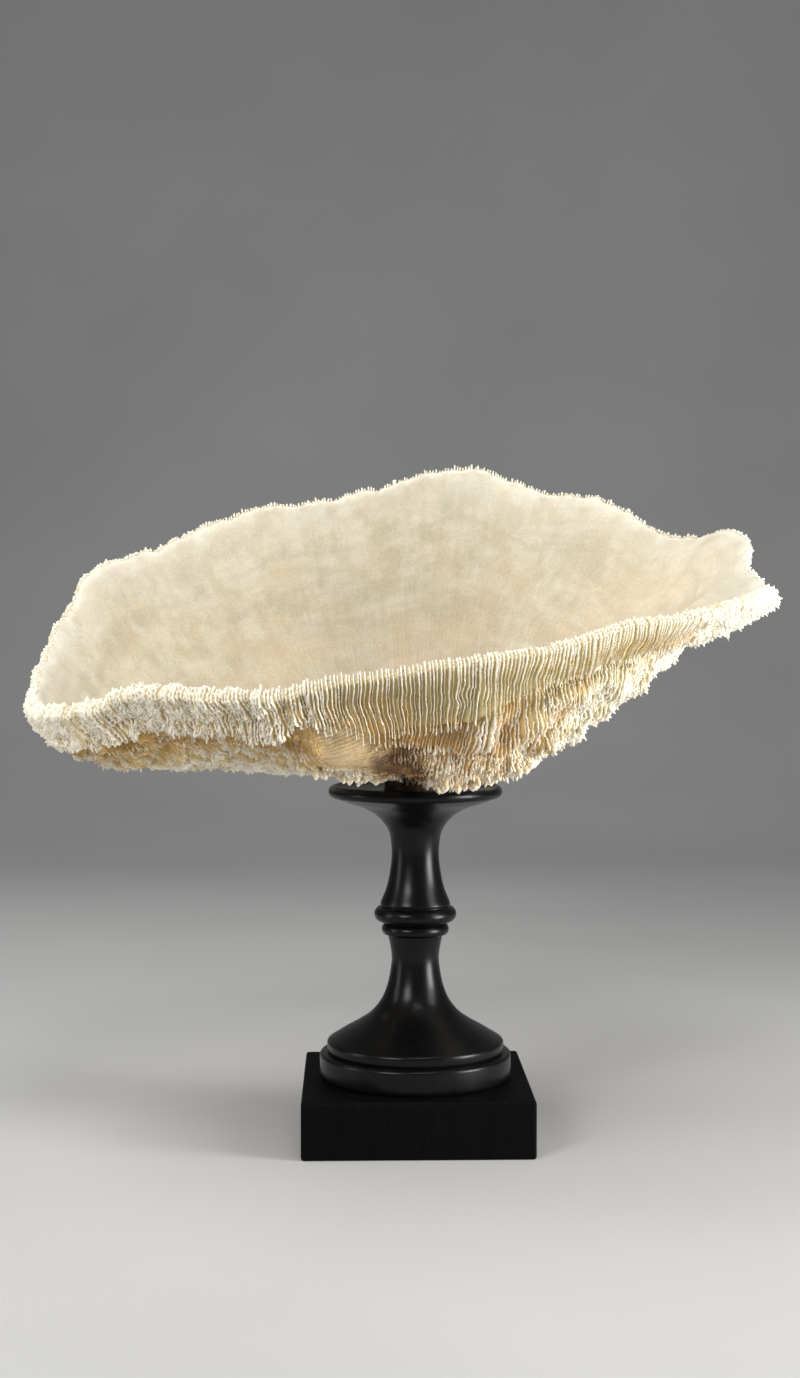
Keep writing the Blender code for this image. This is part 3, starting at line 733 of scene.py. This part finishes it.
for key, value in (("crest", crest_attr), ("band", band_attr), ("warm", np.clip(stain, 0, 1)),
                   ("lip", lip_attr), ("tint", tint), ("grey", grey), ("tone", shade_back)):
    cup_attrs[key] = np.concatenate([value.ravel(), np.full(extra, value[:, 0].mean())])
cup_ob = make_mesh("coral_cup", np.vstack(pts), [faces[0], np.array(tri)[:, ::-1]], cup_stone, cup_attrs)
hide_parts("coral")

# ---------------------------------------------------------------- the blades
# Blades are seeded evenly along the rim, and a blade of a finer set starts
# where its neighbours have spread wide enough to take it.
rim_line = P1[:, -1]
rim_step = np.linalg.norm(np.roll(rim_line, -1, 0) - rim_line, axis=-1)
rim_arc = np.concatenate([[0], np.cumsum(rim_step)])
PITCH = 1.88
N_BLADES = int(rim_arc[-1] / PITCH / 8) * 8
seed_arc = (np.arange(N_BLADES) + 0.22 * rng.uniform(-1, 1, N_BLADES)) * rim_arc[-1] / N_BLADES
seed_az = np.interp(seed_arc % rim_arc[-1], rim_arc, np.append(az_grid, 360.0))
level = np.zeros(N_BLADES, int)
for i in range(N_BLADES):
    level[i] = 0 if i % 8 == 0 else 1 if i % 4 == 0 else 2 if i % 2 == 0 else 3
daz = np.interp(seed_arc, rim_arc, np.append(np.gradient(np.unwrap(az_grid, period=360)), 0.25)) / 0.25
local_step = np.radians(0.25) * PITCH / np.interp(seed_arc % rim_arc[-1], rim_arc, np.append(rim_step, rim_step[0]))
R1 = np.hypot(P1[..., 0], P1[..., 1])


def wander(az, f, seed, size):
    """Sideways drift of the blades, in degrees: neighbours drift together."""
    p = sample(P0, az, f)
    r = np.maximum(np.hypot(p[..., 0], p[..., 1]), 20)
    drift = 3.2 * noise(p / 27.0, seed) + 0.75 * noise(p / 9.0, seed + 1) + 0.42 * noise(p / 2.6, seed + 2)
    return np.degrees(size * drift / r)


paths = []  # each: azimuths, arc fractions, hang beyond the ledge, tier, blade number
VIEW_LO, VIEW_HI = 186.0, 352.0
for i in range(N_BLADES):
    az0 = seed_az[i]
    gi = int(round(az0 * NA / 360)) % NA
    spacing = local_step[i] * (8, 8, 4, 2)[level[i]] / (1 if level[i] == 0 else 1)
    start_r = 1.5 / spacing * (0.9 + 0.25 * rng.uniform()) if level[i] else 20.5
    ok = np.nonzero(R1[gi] > start_r)[0]
    if len(ok) == 0:
        continue
    f_start = f_grid[ok[0]] + 0.01
    in_view = VIEW_LO < az0 < VIEW_HI
    tops = [1.0] + [ledge_f[k][gi] for k in range(4)]
    feet = [ledge_f[k][gi] for k in range(4)] + [0.012]
    for tier, (top, low) in enumerate(zip(tops, feet)):
        lo = max(low + rng.uniform(-0.004, 0.004), f_start)
        if tier == 0 and level[i] == 3 and in_view and rng.uniform() < 0.25:
            lo = max(lo, low + (1 - low) * rng.uniform(0.08, 0.40))  # a blade that dies out above the ledge
        hi = top - (0.0 if tier == 0 else rng.uniform(2.2, 4.0) / arc[gi])
        if hi - lo < 0.012:
            continue
        hidden = (not in_view and tier > 0) or (tier > 2)
        step = (0.56 if tier < 2 else 0.66) if in_view else (1.1 if tier == 0 else 1.9)
        if hidden:
            step = 1.9
        n = max(int((hi - lo) * arc[gi] / step), 3)
        f = np.linspace(lo, hi, n)
        hang = np.zeros(n)
        if lo == f_start:
            ramp_in = True
        else:
            ramp_in = False
            length_out = rng.uniform(0.8, 3.4) * (0.45 + 0.16 * ledge_d[tier][gi]) if tier < 4 else 0.8
            k = max(int(length_out / step), 1)
            f = np.concatenate([np.full(k, lo), f])
            hang = np.concatenate([np.linspace(length_out, length_out / k, k), hang])
        az_path = az0 + wander(np.full(len(f), az0), f, 60 + 7 * tier, 1.0 * (1.0 if tier else smoothstep(0, 14, (1 - f) * arc[gi])))
        az_path = az_path + (0 if tier == 0 else rng.uniform(-0.15, 0.15) * 360 / N_BLADES)
        if tier:
            spread = az0 - 284.0
            az_path = az_path + 0.42 * spread * math.exp(-(spread / 14.0) ** 2) * np.clip((hi - f) / 0.22, 0, 1)
        n_lip = 0
        lip_a = np.zeros(len(f))
        if tier == 0:
            extra_a = np.radians(np.array((18, 36, 54, 72, 90, 108, 128, 150, 172)))
            lip_a = np.concatenate([lip_a, extra_a])
            f = np.concatenate([f, np.ones(len(extra_a))])
            az_path = np.concatenate([az_path, np.full(len(extra_a), az_path[-1])])
            hang = np.concatenate([hang, np.zeros(len(extra_a))])
        paths.append((az_path, f, hang, lip_a, tier, i, ramp_in, step))

az_p = np.concatenate([p[0] for p in paths])
f_p = np.concatenate([p[1] for p in paths])
hang = np.concatenate([p[2] for p in paths])
lip_a = np.concatenate([p[3] for p in paths])
lens = np.array([len(p[0]) for p in paths])
pid = np.repeat(np.arange(len(paths)), lens)
offs = np.concatenate([[0], np.cumsum(lens)])[:-1]
along = np.arange(len(az_p)) - offs[pid]
tier_p = np.array([p[4] for p in paths])[pid]
blade_p = np.array([p[5] for p in paths])[pid]
ramp_p = np.array([p[6] for p in paths])[pid]
last = along == lens[pid] - 1

# the whorl, where the blades curl round one point, and the fan under the ledge
base = sample(P1, az_p, f_p)
nrm = unit(0.55 * sample(N0, az_p, f_p) + 0.45 * sample(N1, az_p, f_p))
mer = sample(M0, az_p, f_p)
for az0, t0, size, turn_by in ((278.0, .905, 4.6, 0.55),
                               (233.0, .93, 6.0, -0.5), (206.0, .93, 7.0, 0.5), (313, .93, 5.0, -0.5),
                               (120, .8, 10.0, 1.0), (60, .75, 10.0, -1.0), (20, .8, 9.0, 0.9)):
    gi = int(round(az0 * 4)) % NA
    fi = f_of_t(gi, t0)
    c = sample(P1, np.array([az0]), np.array([fi]))[0]
    axis = sample(N0, np.array([az0]), np.array([fi]))[0]
    d = base - c
    w = np.exp(-((d ** 2).sum(-1)) / size ** 2)
    ang = turn_by * w
    d_flat = d - axis * (d @ axis)[:, None]
    turned = d_flat * np.cos(ang)[:, None] + np.cross(axis, d_flat) * np.sin(ang)[:, None]
    base = base + (turned - d_flat)

on_lip = lip_a > 0
edgeP, edgeQ, edgeM = (sample(t_, az_p, np.ones_like(f_p)) for t_ in (P1, P_in, M0))
edgeN = unit(edgeP - edgeQ)
lipP = lip_point(edgeP, edgeQ, edgeM, lip_a, -0.2)
lipN = unit(edgeN * np.cos(lip_a)[:, None] + edgeM * np.sin(lip_a)[:, None])
base = np.where(on_lip[:, None], lipP, base)
nrm = np.where(on_lip[:, None], lipN, nrm)
down = np.array([0, 0, -1.0])
hang_dir = unit(-mer * 0.75 + down * 0.55 + nrm * 0.10)
base = base + hang_dir * hang[:, None]

tangent = np.zeros_like(base)
tangent[1:-1] = base[2:] - base[:-2]
firsts = along == 0
tangent[firsts] = (np.roll(base, -1, 0) - base)[firsts]
tangent[last] = (base - np.roll(base, 1, 0))[last]
tangent = unit(tangent)
side = unit(np.cross(nrm, tangent))

G = np.clip(sample(granular, az_p, f_p), 0, 1)
B = sample(smooth_patch, az_p, f_p)
rim_mm = sample(from_rim, az_p, f_p)
size_n = fbm(base / 8.0, 2, 71)
own = _hash(blade_p.astype(np.int64), blade_p * 0, tier_p.astype(np.int64), 91)  # each blade's own size
height = (2.5 + 0.3 * (tier_p == 0) - 0.4 * (tier_p > 2)) * (1 + 0.25 * size_n)
height *= np.where(level[blade_p] == 3, 0.72, 1.06) ** (1 - 0.5 * G) * (0.72 + 0.56 * own)
height *= 1 + 0.28 * G * noise(base / 3.6, 73)
height = np.where(on_lip, (2.0 - 1.3 * smoothstep(2.2, 3.1, lip_a)) * (0.70 + 0.55 * own) * (1 + 0.25 * sample(left_roll, az_p, f_p)), height)
upper_right = smoothstep(276, 290, az_p) * (1 - smoothstep(322, 336, az_p)) * (tier_p == 0) * ~on_lip
height *= 1 - 0.38 * upper_right
recess_left = sample(second, az_p, f_p) * (az_p < 245) * (hang <= 0)
height *= 1 - 0.30 * recess_left
flank = sample(bump(A, T, 312, .70, 13, .16), az_p, f_p)  # softer, more worn
height *= 1 - 0.40 * flank
# under the ledges the blades are lower, and their crests are darkened as painted shade
sunk_and_shaded = sample(step_shade, az_p, f_p) * (hang <= 0)
# in the clefts the blades are lower, and their crests darker as painted shade
in_cleft = sample(np.clip(cleft * left_roll + foot_cleft, 0, 1), az_p, f_p) * (1 - 0.9 * on_lip)
height *= (1 - B) * (1 - 0.45 * sunk_and_shaded) * (1 - 0.35 * in_cleft)
taper = np.where(ramp_p, smoothstep(-0.5, 5, along), 1.0) * np.where(
    (tier_p > 0) | on_lip, smoothstep(-1.0, 2.0, lens[pid] - 1 - along), 1.0)
height *= taper
width = (0.32 + 0.26 * G) * (1 + 0.15 * size_n) * (0.85 + 0.3 * own) * np.where(hang > 0, 0.85, 1.0)
width = np.where(tier_p > 1, width * 1.15, width)
at_rim = np.where(tier_p == 0, 1 - smoothstep(1.0, 9.0, rim_mm), 0.0)
fan = sample(np.clip(1.5 * bump(A, T, 282.6, .765, 2.8, .085) - 0.1, 0, 1), az_p, f_p) * (tier_p > 0)
width = width + 0.12 * at_rim + 0.26 * fan
tip_fade = np.where(hang > 0, np.clip(1.15 - 0.28 * hang, 0.35, 1.0), 1.0)
height *= tip_fade
# teeth: every other point of a crest is a tooth's tip
r1, r2, r3 = (_hash(blade_p.astype(np.int64), along.astype(np.int64), tier_p.astype(np.int64) + 50, s) for s in (1, 2, 3))
nodule = noise(base / 1.6, 74) + 0.45 * noise(base / 3.4, 75)
tooth = 0.34 - 0.10 * G
tooth = np.where(on_lip | (rim_mm < 5), np.maximum(tooth, 0.42), tooth)
up_down = np.where(along % 2 == 0, 1.0 + 0.75 * (r1 - 0.5) * (0.15 + G), 1.0 - tooth * (0.75 + 0.6 * r1))
crest_h = height * up_down * (1 + G * (0.66 * nodule - 0.16) + (1 - G) * 0.24 * nodule)
crest_side = ((r2 - 0.5) * (0.22 + 0.15 * G) + 0.75 * G * noise(base / 1.9, 76)) * np.where(on_lip, 0.8, 1.0)
crest_along = (r3 - 0.5) * 0.40 * G

half_top = np.minimum((0.12 + 0.20 * G) * np.where(along % 2 == 0, 1.25, 0.75) * (0.75 + 0.5 * r3)
                      * (1 + 0.6 * G * nodule), 0.8 * width)
half_top = np.maximum(half_top * (1 - 0.3 * (1 - G) * (1 - at_rim)) + 0.12 * at_rim + 0.24 * fan, 0.05)
L = base - side * width[:, None] - nrm * 0.35
Rr = base + side * width[:, None] - nrm * 0.35
C = base + nrm * np.maximum(crest_h, -0.2)[:, None] + side * crest_side[:, None] + tangent * crest_along[:, None]
CL, CR = C - side * half_top[:, None], C + side * half_top[:, None]
keep_seg = ~last & ~((B > 0.93) & (np.roll(B, -1) > 0.93))
k = np.nonzero(keep_seg)[0]
# how pale each crest is: taller blades paler, partly the stone's colour and partly painted shade; painted shade darkens
# the crests under the ledges and in the clefts
crest_val = np.clip(0.30 + 0.42 * crest_h * (1 - 0.15 * G), 0, 1) * (1 - 0.50 * sunk_and_shaded) * (1 - 0.45 * in_cleft)
bead = noise(base / 1.15, 80)  # the crests are beaded, and the finer blades duller
plain = (1 - G) * (1 - 0.7 * at_rim)
crest_val *= 1 + plain * (0.22 * bead - 0.22) - plain * np.where(level[blade_p] == 3, 0.26, 0.0) * (0.4 + own)
crest_val = np.where((hang > 0) & (tier_p < 2), np.maximum(crest_val, 0.72), crest_val)
crest_val = np.maximum(crest_val, 0.95 * fan)
# painted highlight on the lower right flank, partly the stone's white; the hollow at azimuth 300 darker, partly painted
# shade
crest_val = crest_val + 0.35 * sample(bump(A, T, 309, .74, 11, .11) - 0.9 * bump(A, T, 300.5, .735, 3.2, .055), az_p, f_p)
# painted shade: blades in the gap under the coral darkened
crest_val = np.clip(crest_val, 0, 1) * (1 - 0.85 * sample(painted_gap_shade, az_p, f_p))
shade_under_roll = (tier_p > 0) * (1 - smoothstep(262, 276, az_p)) * smoothstep(188, 200, az_p)  # painted shade: crests darker below the roll's overhang
between = smoothstep(-0.25, 0.35, noise(base / 4.0, 92))  # brown between the pale lumps: partly the stone's colour, partly painted shade
# painted shade: crests darker in the recess on the left and below the roll, between the pale lumps
crest_val *= (1 - 0.42 * recess_left * between) * (1 - 0.26 * shade_under_roll * between)
warm_p = np.clip(sample(warm, az_p, f_p) - 0.30 * (rim_mm < 6) - 0.25 * (hang > 0), 0, 1)


def blade_mesh(name, seg):
    """Strips with a sharp crest over the chosen segments, closed at their ends."""
    used = np.zeros(len(base), bool)
    used[seg] = True
    used[seg + 1] = True
    new = np.cumsum(used) - 1
    n = int(used.sum())
    pts = np.concatenate([L[used], CL[used], CR[used], Rr[used]])
    a, b = new[seg], new[seg + 1]
    quads = [np.stack([a + j * n, b + j * n, b + (j + 1) * n, a + (j + 1) * n], -1) for j in range(3)]
    has_seg = np.zeros(len(base), bool)
    has_seg[seg] = True
    starts = seg[~(has_seg[seg - 1] & (pid[seg - 1] == pid[seg])) | (seg == 0)]
    ends = seg[~np.append(has_seg, False)[seg + 1]] + 1
    s, e = new[starts], new[ends]
    quads += [np.stack([s, s + n, s + 2 * n, s + 3 * n], -1), np.stack([e + 3 * n, e + 2 * n, e + n, e], -1)]
    # the blades' feet take the valley colour, partly as painted shade between the blades
    foot = 0.12 * np.ones(n)
    attrs = {
        "crest": np.concatenate([foot, crest_val[used], crest_val[used], foot]),
        "warm": np.tile(warm_p[used], 4),
    }
    return make_mesh(name, pts, np.vstack(quads), blade_stone, attrs)


seg_az = az_p[k] % 360
seg_tier = tier_p[k]
front = (seg_az > VIEW_LO) & (seg_az < VIEW_HI)
seg_right = seg_az > 268
groups = {
    "coral_septa_front_rim": front & (seg_tier == 0),
    "coral_septa_front_left": front & (seg_tier > 0) & ~seg_right,
    "coral_septa_front_right": front & (seg_tier > 0) & seg_right,
    "coral_septa_back_rim": ~front & (seg_tier == 0),
    "coral_septa_back_lower": ~front & (seg_tier > 0),
}
for name, m in groups.items():
    ob = blade_mesh(name, k[m])
    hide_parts("coral")
    print(name, "triangles", int(m.sum()) * 6)

# ---------------------------------------------------------------- the fringe
def column_mesh(name, roots, dirs, lengths, radii, warmth, seed, mat, sides=7, rings=7):
    """Blunt, knobbly little columns of stone, closed at both ends."""
    n = len(roots)
    local = np.random.default_rng(seed)
    helper = np.tile(np.array([0.31, 0.87, 0.38]), (n, 1))
    u = unit(np.cross(dirs, helper))
    v = np.cross(dirs, u)
    u, v = u[:, None, None], v[:, None, None]
    s = np.linspace(0, 1, rings)
    shape = np.array([0.85, 1.0, 0.92, 1.02, 0.95, 0.82, 0.42])[:rings]
    swell = shape[None, :, None] * (1 + 0.30 * local.uniform(-1, 1, (n, rings, sides)))
    a = (np.arange(sides) * 2 * np.pi / sides)[None, None, :] + local.uniform(0, 6.28, (n, 1, 1))
    bend = local.uniform(-0.18, 0.18, (n, 2))
    centre = (roots[:, None] + dirs[:, None] * (s[None, :, None] * lengths[:, None, None])
              + (u[:, :, 0] * bend[:, None, :1] + v[:, :, 0] * bend[:, None, 1:]) * (s ** 2)[None, :, None]
              * lengths[:, None, None])
    rad = (radii[:, None, None] * swell)[..., None]
    pts = centre[:, :, None] + (u * np.cos(a)[..., None] + v * np.sin(a)[..., None]) * rad
    tips = centre[:, -1] + dirs * (radii * 0.30)[:, None]
    foot = centre[:, 0]
    per = rings * sides
    grid = np.arange(n * per).reshape(n, rings, sides)
    q = np.stack([grid[:, :-1], np.roll(grid, -1, 2)[:, :-1], np.roll(grid, -1, 2)[:, 1:], grid[:, 1:]], -1).reshape(-1, 4)
    tip_i = n * per + np.arange(n)
    foot_i = tip_i + n
    t1 = np.stack([grid[:, -1], np.roll(grid[:, -1], -1, 1), np.repeat(tip_i[:, None], sides, 1)], -1).reshape(-1, 3)
    t2 = np.stack([np.roll(grid[:, 0], -1, 1), grid[:, 0], np.repeat(foot_i[:, None], sides, 1)], -1).reshape(-1, 3)
    crest = np.repeat(np.clip(0.15 + 0.70 * s, 0, 1)[None, :, None], n, 0) * (0.8 + 0.25 * local.uniform(0, 1, (n, rings, sides)))
    crest = np.concatenate([np.clip(crest, 0, 1).ravel(), np.ones(n), np.zeros(n)])
    warm_all = np.concatenate([np.repeat(warmth, per), warmth, warmth])
    ob = make_mesh(name, np.vstack([pts.reshape(-1, 3), tips, foot]), [q, np.vstack([t1, t2])], mat,
                   {"crest": crest, "warm": warm_all})
    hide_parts("coral")
    return ob


frng = np.random.default_rng(77)
n_f = 150
faz = frng.uniform(232, 316, n_f)
faz = faz[(faz < 253.0) | (faz > 272.5)]
ft = frng.uniform(0.15, 0.36, len(faz)) + 0.06 * smoothstep(285, 310, faz) + 0.05 * smoothstep(250, 236, faz)
ff = np.array([f_of_t(int(round(a * 4)) % NA, t) for a, t in zip(faz, ft)])
froot = sample(P1, faz, ff)
fn = sample(N0, faz, ff)
fdir = unit(0.35 * fn + np.array([0, 0, -1.0]) + frng.normal(0, 0.12, fn.shape))
flen = frng.uniform(3.2, 6.6, len(faz))
flen = np.minimum(flen, np.maximum((froot[:, 2] - 188.4) / np.maximum(-fdir[:, 2], 0.3), 1.5))
frad = frng.uniform(1.1, 2.7, len(faz)) * (0.8 + 0.3 * noise(froot / 7.0, 79))
column_mesh("coral_fringe", froot + fn * -0.8, fdir, flen + 0.8, frad, np.clip(sample(warm, faz, ff) * 0.6 + 0.2, 0, 1), 78, blade_stone)

# --------------------------------------------------------------- the stand
def lacquer(name, tint, roughness, coat, grain_strength, dust, gloss):
    """Ebonised wood: black lacquer with faint grain and a little dust."""
    m, nt, bsdf = nodes_of(name)
    co = object_coords(nt)
    stretch = nt.nodes.new("ShaderNodeMapping")
    stretch.inputs["Scale"].default_value = (1.0, 1.0, 0.10)
    nt.links.new(co, stretch.inputs["Vector"])
    grain = noise_tex(nt, 420, 4, 0.6, stretch.outputs[0])
    cloud = noise_tex(nt, 45, 3, 0.5, co)
    speck = noise_tex(nt, 1600, 2, 0.5, co)
    col = ramp(nt, grain, ((0.35, tuple(c * 0.75 for c in tint)), (0.65, tuple(c * 1.25 for c in tint))))
    dusty = math_node(nt, "MULTIPLY", ramp(nt, speck, ((0.66, 0.0), (0.74, 1.0))), dust)
    col = mix_rgb(nt, dusty, col, (0.30, 0.29, 0.27))
    nt.links.new(col, bsdf.inputs["Base Color"])
    rough = math_node(nt, "ADD", math_node(nt, "MULTIPLY", cloud, 0.14), roughness - 0.07)
    nt.links.new(rough, bsdf.inputs["Roughness"])
    bsdf.inputs["Specular IOR Level"].default_value = gloss
    bsdf.inputs["Coat Weight"].default_value = coat
    bsdf.inputs["Coat Roughness"].default_value = 0.22
    mixed = math_node(nt, "ADD", grain, math_node(nt, "MULTIPLY", cloud, 0.6))
    add_bump(nt, bsdf, mixed, 0.00005, grain_strength)
    return m


column_black = lacquer("column_black_lacquer", (0.0028, 0.003, 0.0036), 0.29, 0.10, 0.6, 0.03, 0.14)
plinth_black = lacquer("plinth_black_lacquer", (0.002, 0.002, 0.0024), 0.60, 0.0, 0.8, 0.03, 0.05)

m_seat, nt, bsdf = nodes_of("seat_brown_wood")
co = object_coords(nt)
ringed = noise_tex(nt, 260, 4, 0.6, co)
nt.links.new(ramp(nt, ringed, ((0.3, (0.035, 0.016, 0.008)), (0.7, (0.10, 0.048, 0.022)))), bsdf.inputs["Base Color"])
bsdf.inputs["Roughness"].default_value = 0.62
add_bump(nt, bsdf, ringed, 0.00012, 0.8)

m_pin, nt, bsdf = nodes_of("pin_brushed_steel")
co = object_coords(nt)
brushed = noise_tex(nt, 900, 2, 0.5, co)
nt.links.new(ramp(nt, brushed, ((0.3, (0.45, 0.45, 0.46)), (0.7, (0.62, 0.62, 0.63)))), bsdf.inputs["Base Color"])
bsdf.inputs["Metallic"].default_value = 1.0
bsdf.inputs["Roughness"].default_value = 0.38


def assign(node, mat):
    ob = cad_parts[node]
    for s in ob.material_slots:
        s.material = mat
    if not ob.material_slots:
        ob.data.materials.append(mat)


assign("plinth", plinth_black)
assign("seat", m_seat)
assign("pin", m_pin)


def half_round(radius, height, half, out, steps, back):
    rows = []
    for j in range(steps + 1):
        a = math.pi * (0.5 - j / steps)
        rows.append((back + out * math.cos(a), height + half * math.sin(a)))
    return rows


def cove(points, count):
    """A smooth turned curve through a few (radius, height) stations."""
    p = np.asarray(points, float)
    d = np.concatenate([[0], np.cumsum(np.hypot(*np.diff(p, axis=0).T))])
    tan = np.gradient(p, d, axis=0)
    rows = []
    for s in np.linspace(0, d[-1], count):
        i = min(int(np.searchsorted(d, s, side="right")) - 1, len(d) - 2)
        h = d[i + 1] - d[i]
        u = (s - d[i]) / h
        rows.append(tuple(p[i] * (1 + 2 * u) * (1 - u) ** 2 + tan[i] * h * u * (1 - u) ** 2
                          + p[i + 1] * u * u * (3 - 2 * u) - tan[i + 1] * h * u * u * (1 - u)))
    return rows


# The column, turned finer than its solid: the same stations, with soft arrises.
lo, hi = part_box("column")
foot = 30.3
profile = [(3.3, 183.8), (20.0, 183.8), (30.0, 184.0), (38.0, 184.6), (42.2, 185.6)]
profile += half_round(46.5, 183.1, 3.3, 3.3, 14, 43.2)
profile += [(42.6, 179.6)]
profile += cove([(41.0, 178.9), (36.2, 177.2), (27.3, 174.2), (20.2, 169.7), (14.5, 162.2), (12.9, 154.7),
                 (12.7, 148.5), (13.7, 139.6), (15.3, 132.1), (18.6, 123.6)], 40)
profile += [(18.75, 122.9), (18.6, 122.3), (18.2, 121.9)]
profile += half_round(22.0, 117.4, 4.1, 3.8, 14, 18.2)
profile += [(17.2, 112.9), (16.9, 112.4)]
profile += half_round(18.0, 109.2, 2.7, 1.8, 10, 16.2)
profile += cove([(14.7, 105.9), (13.6, 101.0), (12.7, 94.0), (13.4, 86.8), (15.0, 79.2), (18.0, 71.7),
                 (24.0, 64.1), (30.1, 59.8), (38.4, 55.0), (45.4, 50.6)], 40)
profile += [(46.3, 50.1), (46.9, 49.6), (47.25, 48.8), (47.3, 47.8), (47.3, 45.4), (47.15, 44.6), (46.7, 44.0),
            (46.6, 43.65), (48.6, 43.6), (49.8, 43.5), (50.7, 43.1), (51.2, 42.4), (51.3, 41.5),
            (51.3, 32.6), (51.2, 31.3), (50.8, 30.5), (50.2, foot), (12.0, foot), (12.0, 15.0), (11.0, 14.0)]
prof = np.array(profile)
STEPS = 128
th = np.arange(STEPS) * 2 * np.pi / STEPS
pts = np.stack([np.outer(np.cos(th), prof[:, 0]), np.outer(np.sin(th), prof[:, 0]),
                np.repeat(prof[None, :, 1], STEPS, 0)], -1)
n_r = len(prof)
quads = grid_faces(STEPS, n_r, flip=True)
pts = pts.reshape(-1, 3)
bottom = len(pts)
pts = np.vstack([pts, [[0, 0, 14.0]]])
# pin hole: down the wall to its floor, so the turning is closed
hole = np.stack([3.3 * np.cos(th), 3.3 * np.sin(th), 0 * th + 149.7], -1)
h0 = len(pts)
pts = np.vstack([pts, hole, [[0, 0, 149.7]]])
top_ring = np.arange(STEPS) * n_r
hq = np.stack([top_ring, h0 + np.arange(STEPS), h0 + (np.arange(STEPS) + 1) % STEPS, np.roll(top_ring, -1)], -1)
ht = np.stack([np.full(STEPS, h0 + STEPS), h0 + (np.arange(STEPS) + 1) % STEPS, h0 + np.arange(STEPS)], -1)
low_ring = np.arange(STEPS) * n_r + n_r - 1
bt = np.stack([np.full(STEPS, bottom), low_ring, np.roll(low_ring, -1)], -1)
column = make_mesh("column_turned", pts, [quads, hq[:, ::-1], np.vstack([bt, ht])[:, ::-1]], column_black)
column.data.set_sharp_from_angle(angle=math.radians(38))
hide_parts("column")

# ------------------------------------------------------- floor and backdrop
m_floor, nt, bsdf = nodes_of("backdrop_paper")
co = object_coords(nt)
nt.links.new(ramp(nt, noise_tex(nt, 3, 2, 0.5, co), ((0.3, (0.50, 0.50, 0.50)), (0.7, (0.54, 0.54, 0.54)))),
             bsdf.inputs["Base Color"])
bsdf.inputs["Roughness"].default_value = 0.9
bsdf.inputs["Specular IOR Level"].default_value = 0.1
line = [(-2.6, 0.0), (1.2, 0.0)]
for j in range(1, 17):
    a = math.pi / 2 * j / 16
    line.append((1.2 + 1.3 * math.sin(a), 1.3 - 1.3 * math.cos(a)))
line.append((2.5, 4.0))
xs = np.linspace(-4, 4, 9)
pts = np.array([[x * 1000, y * 1000, z * 1000] for x in xs for y, z in line])
sweep_faces = grid_faces(len(xs), len(line), closed=False)
me = bpy.data.meshes.new("backdrop")
me.from_pydata((pts * MM).tolist(), [], sweep_faces.tolist())
me.shade_smooth()
me.materials.append(m_floor)
floor = bpy.data.objects.new("backdrop", me)
bpy.context.scene.collection.objects.link(floor)

# ---------------------------------------------------------- camera and light
scene = bpy.context.scene
cam = bpy.data.cameras.new("camera")
cam.lens = 50
cam.sensor_width = 36
cam.clip_start, cam.clip_end = 0.05, 50
cam_ob = bpy.data.objects.new("camera", cam)
cam_ob.location = (-0.03320, -1.02289, 0.2683)
cam_ob.rotation_euler = (math.radians(88.2942), 0.0, math.radians(-1.4))
scene.collection.objects.link(cam_ob)
scene.camera = cam_ob


def area(name, at, to, size, watts, colour=(1, 1, 1), size_y=None):
    li = bpy.data.lights.new(name, "AREA")
    li.energy = watts
    li.color = colour
    li.size = size
    if size_y:
        li.shape = "RECTANGLE"
        li.size_y = size_y
    ob = bpy.data.objects.new(name, li)
    ob.location = at
    d = np.array(to, float) - np.array(at, float)
    yaw = math.atan2(d[1], d[0]) - math.pi / 2
    pitch = math.atan2(d[2], math.hypot(d[0], d[1])) + math.pi / 2
    ob.rotation_euler = (pitch, 0, yaw)
    scene.collection.objects.link(ob)
    return ob


area("key_right", (1.10, -0.55, 0.55), (0.05, 0, 0.26), 0.50, 8.5, (1.0, 0.985, 0.955), 0.9)
area("low_right", (0.85, -0.34, 0.17), (0.12, 0, 0.25), 0.35, 7.6, (1.0, 0.985, 0.965), 0.3)
area("front_left", (-0.85, -1.25, 0.85), (-0.05, 0, 0.24), 0.55, 12, (1.0, 0.985, 0.96), 0.5)
area("top_front", (0.10, -0.70, 1.20), (0, 0, 0.25), 0.5, 5.0, (1.0, 0.985, 0.96), 0.5)
area("strip_left", (-1.15, -0.18, 0.30), (-0.05, 0, 0.20), 0.25, 3.0, (0.96, 0.98, 1.0), 0.9)
area("top_left", (-0.60, 0.10, 1.15), (0.05, 0, 0.25), 0.7, 6.5, (1.0, 0.99, 0.97), 0.7)

world = bpy.data.worlds.new("studio")
world.use_nodes = True
world.node_tree.nodes["Background"].inputs[0].default_value = (0.80, 0.82, 0.86, 1)
world.node_tree.nodes["Background"].inputs[1].default_value = 0.14
scene.world = world
scene.view_settings.view_transform = "Standard"
scene.view_settings.look = "None"
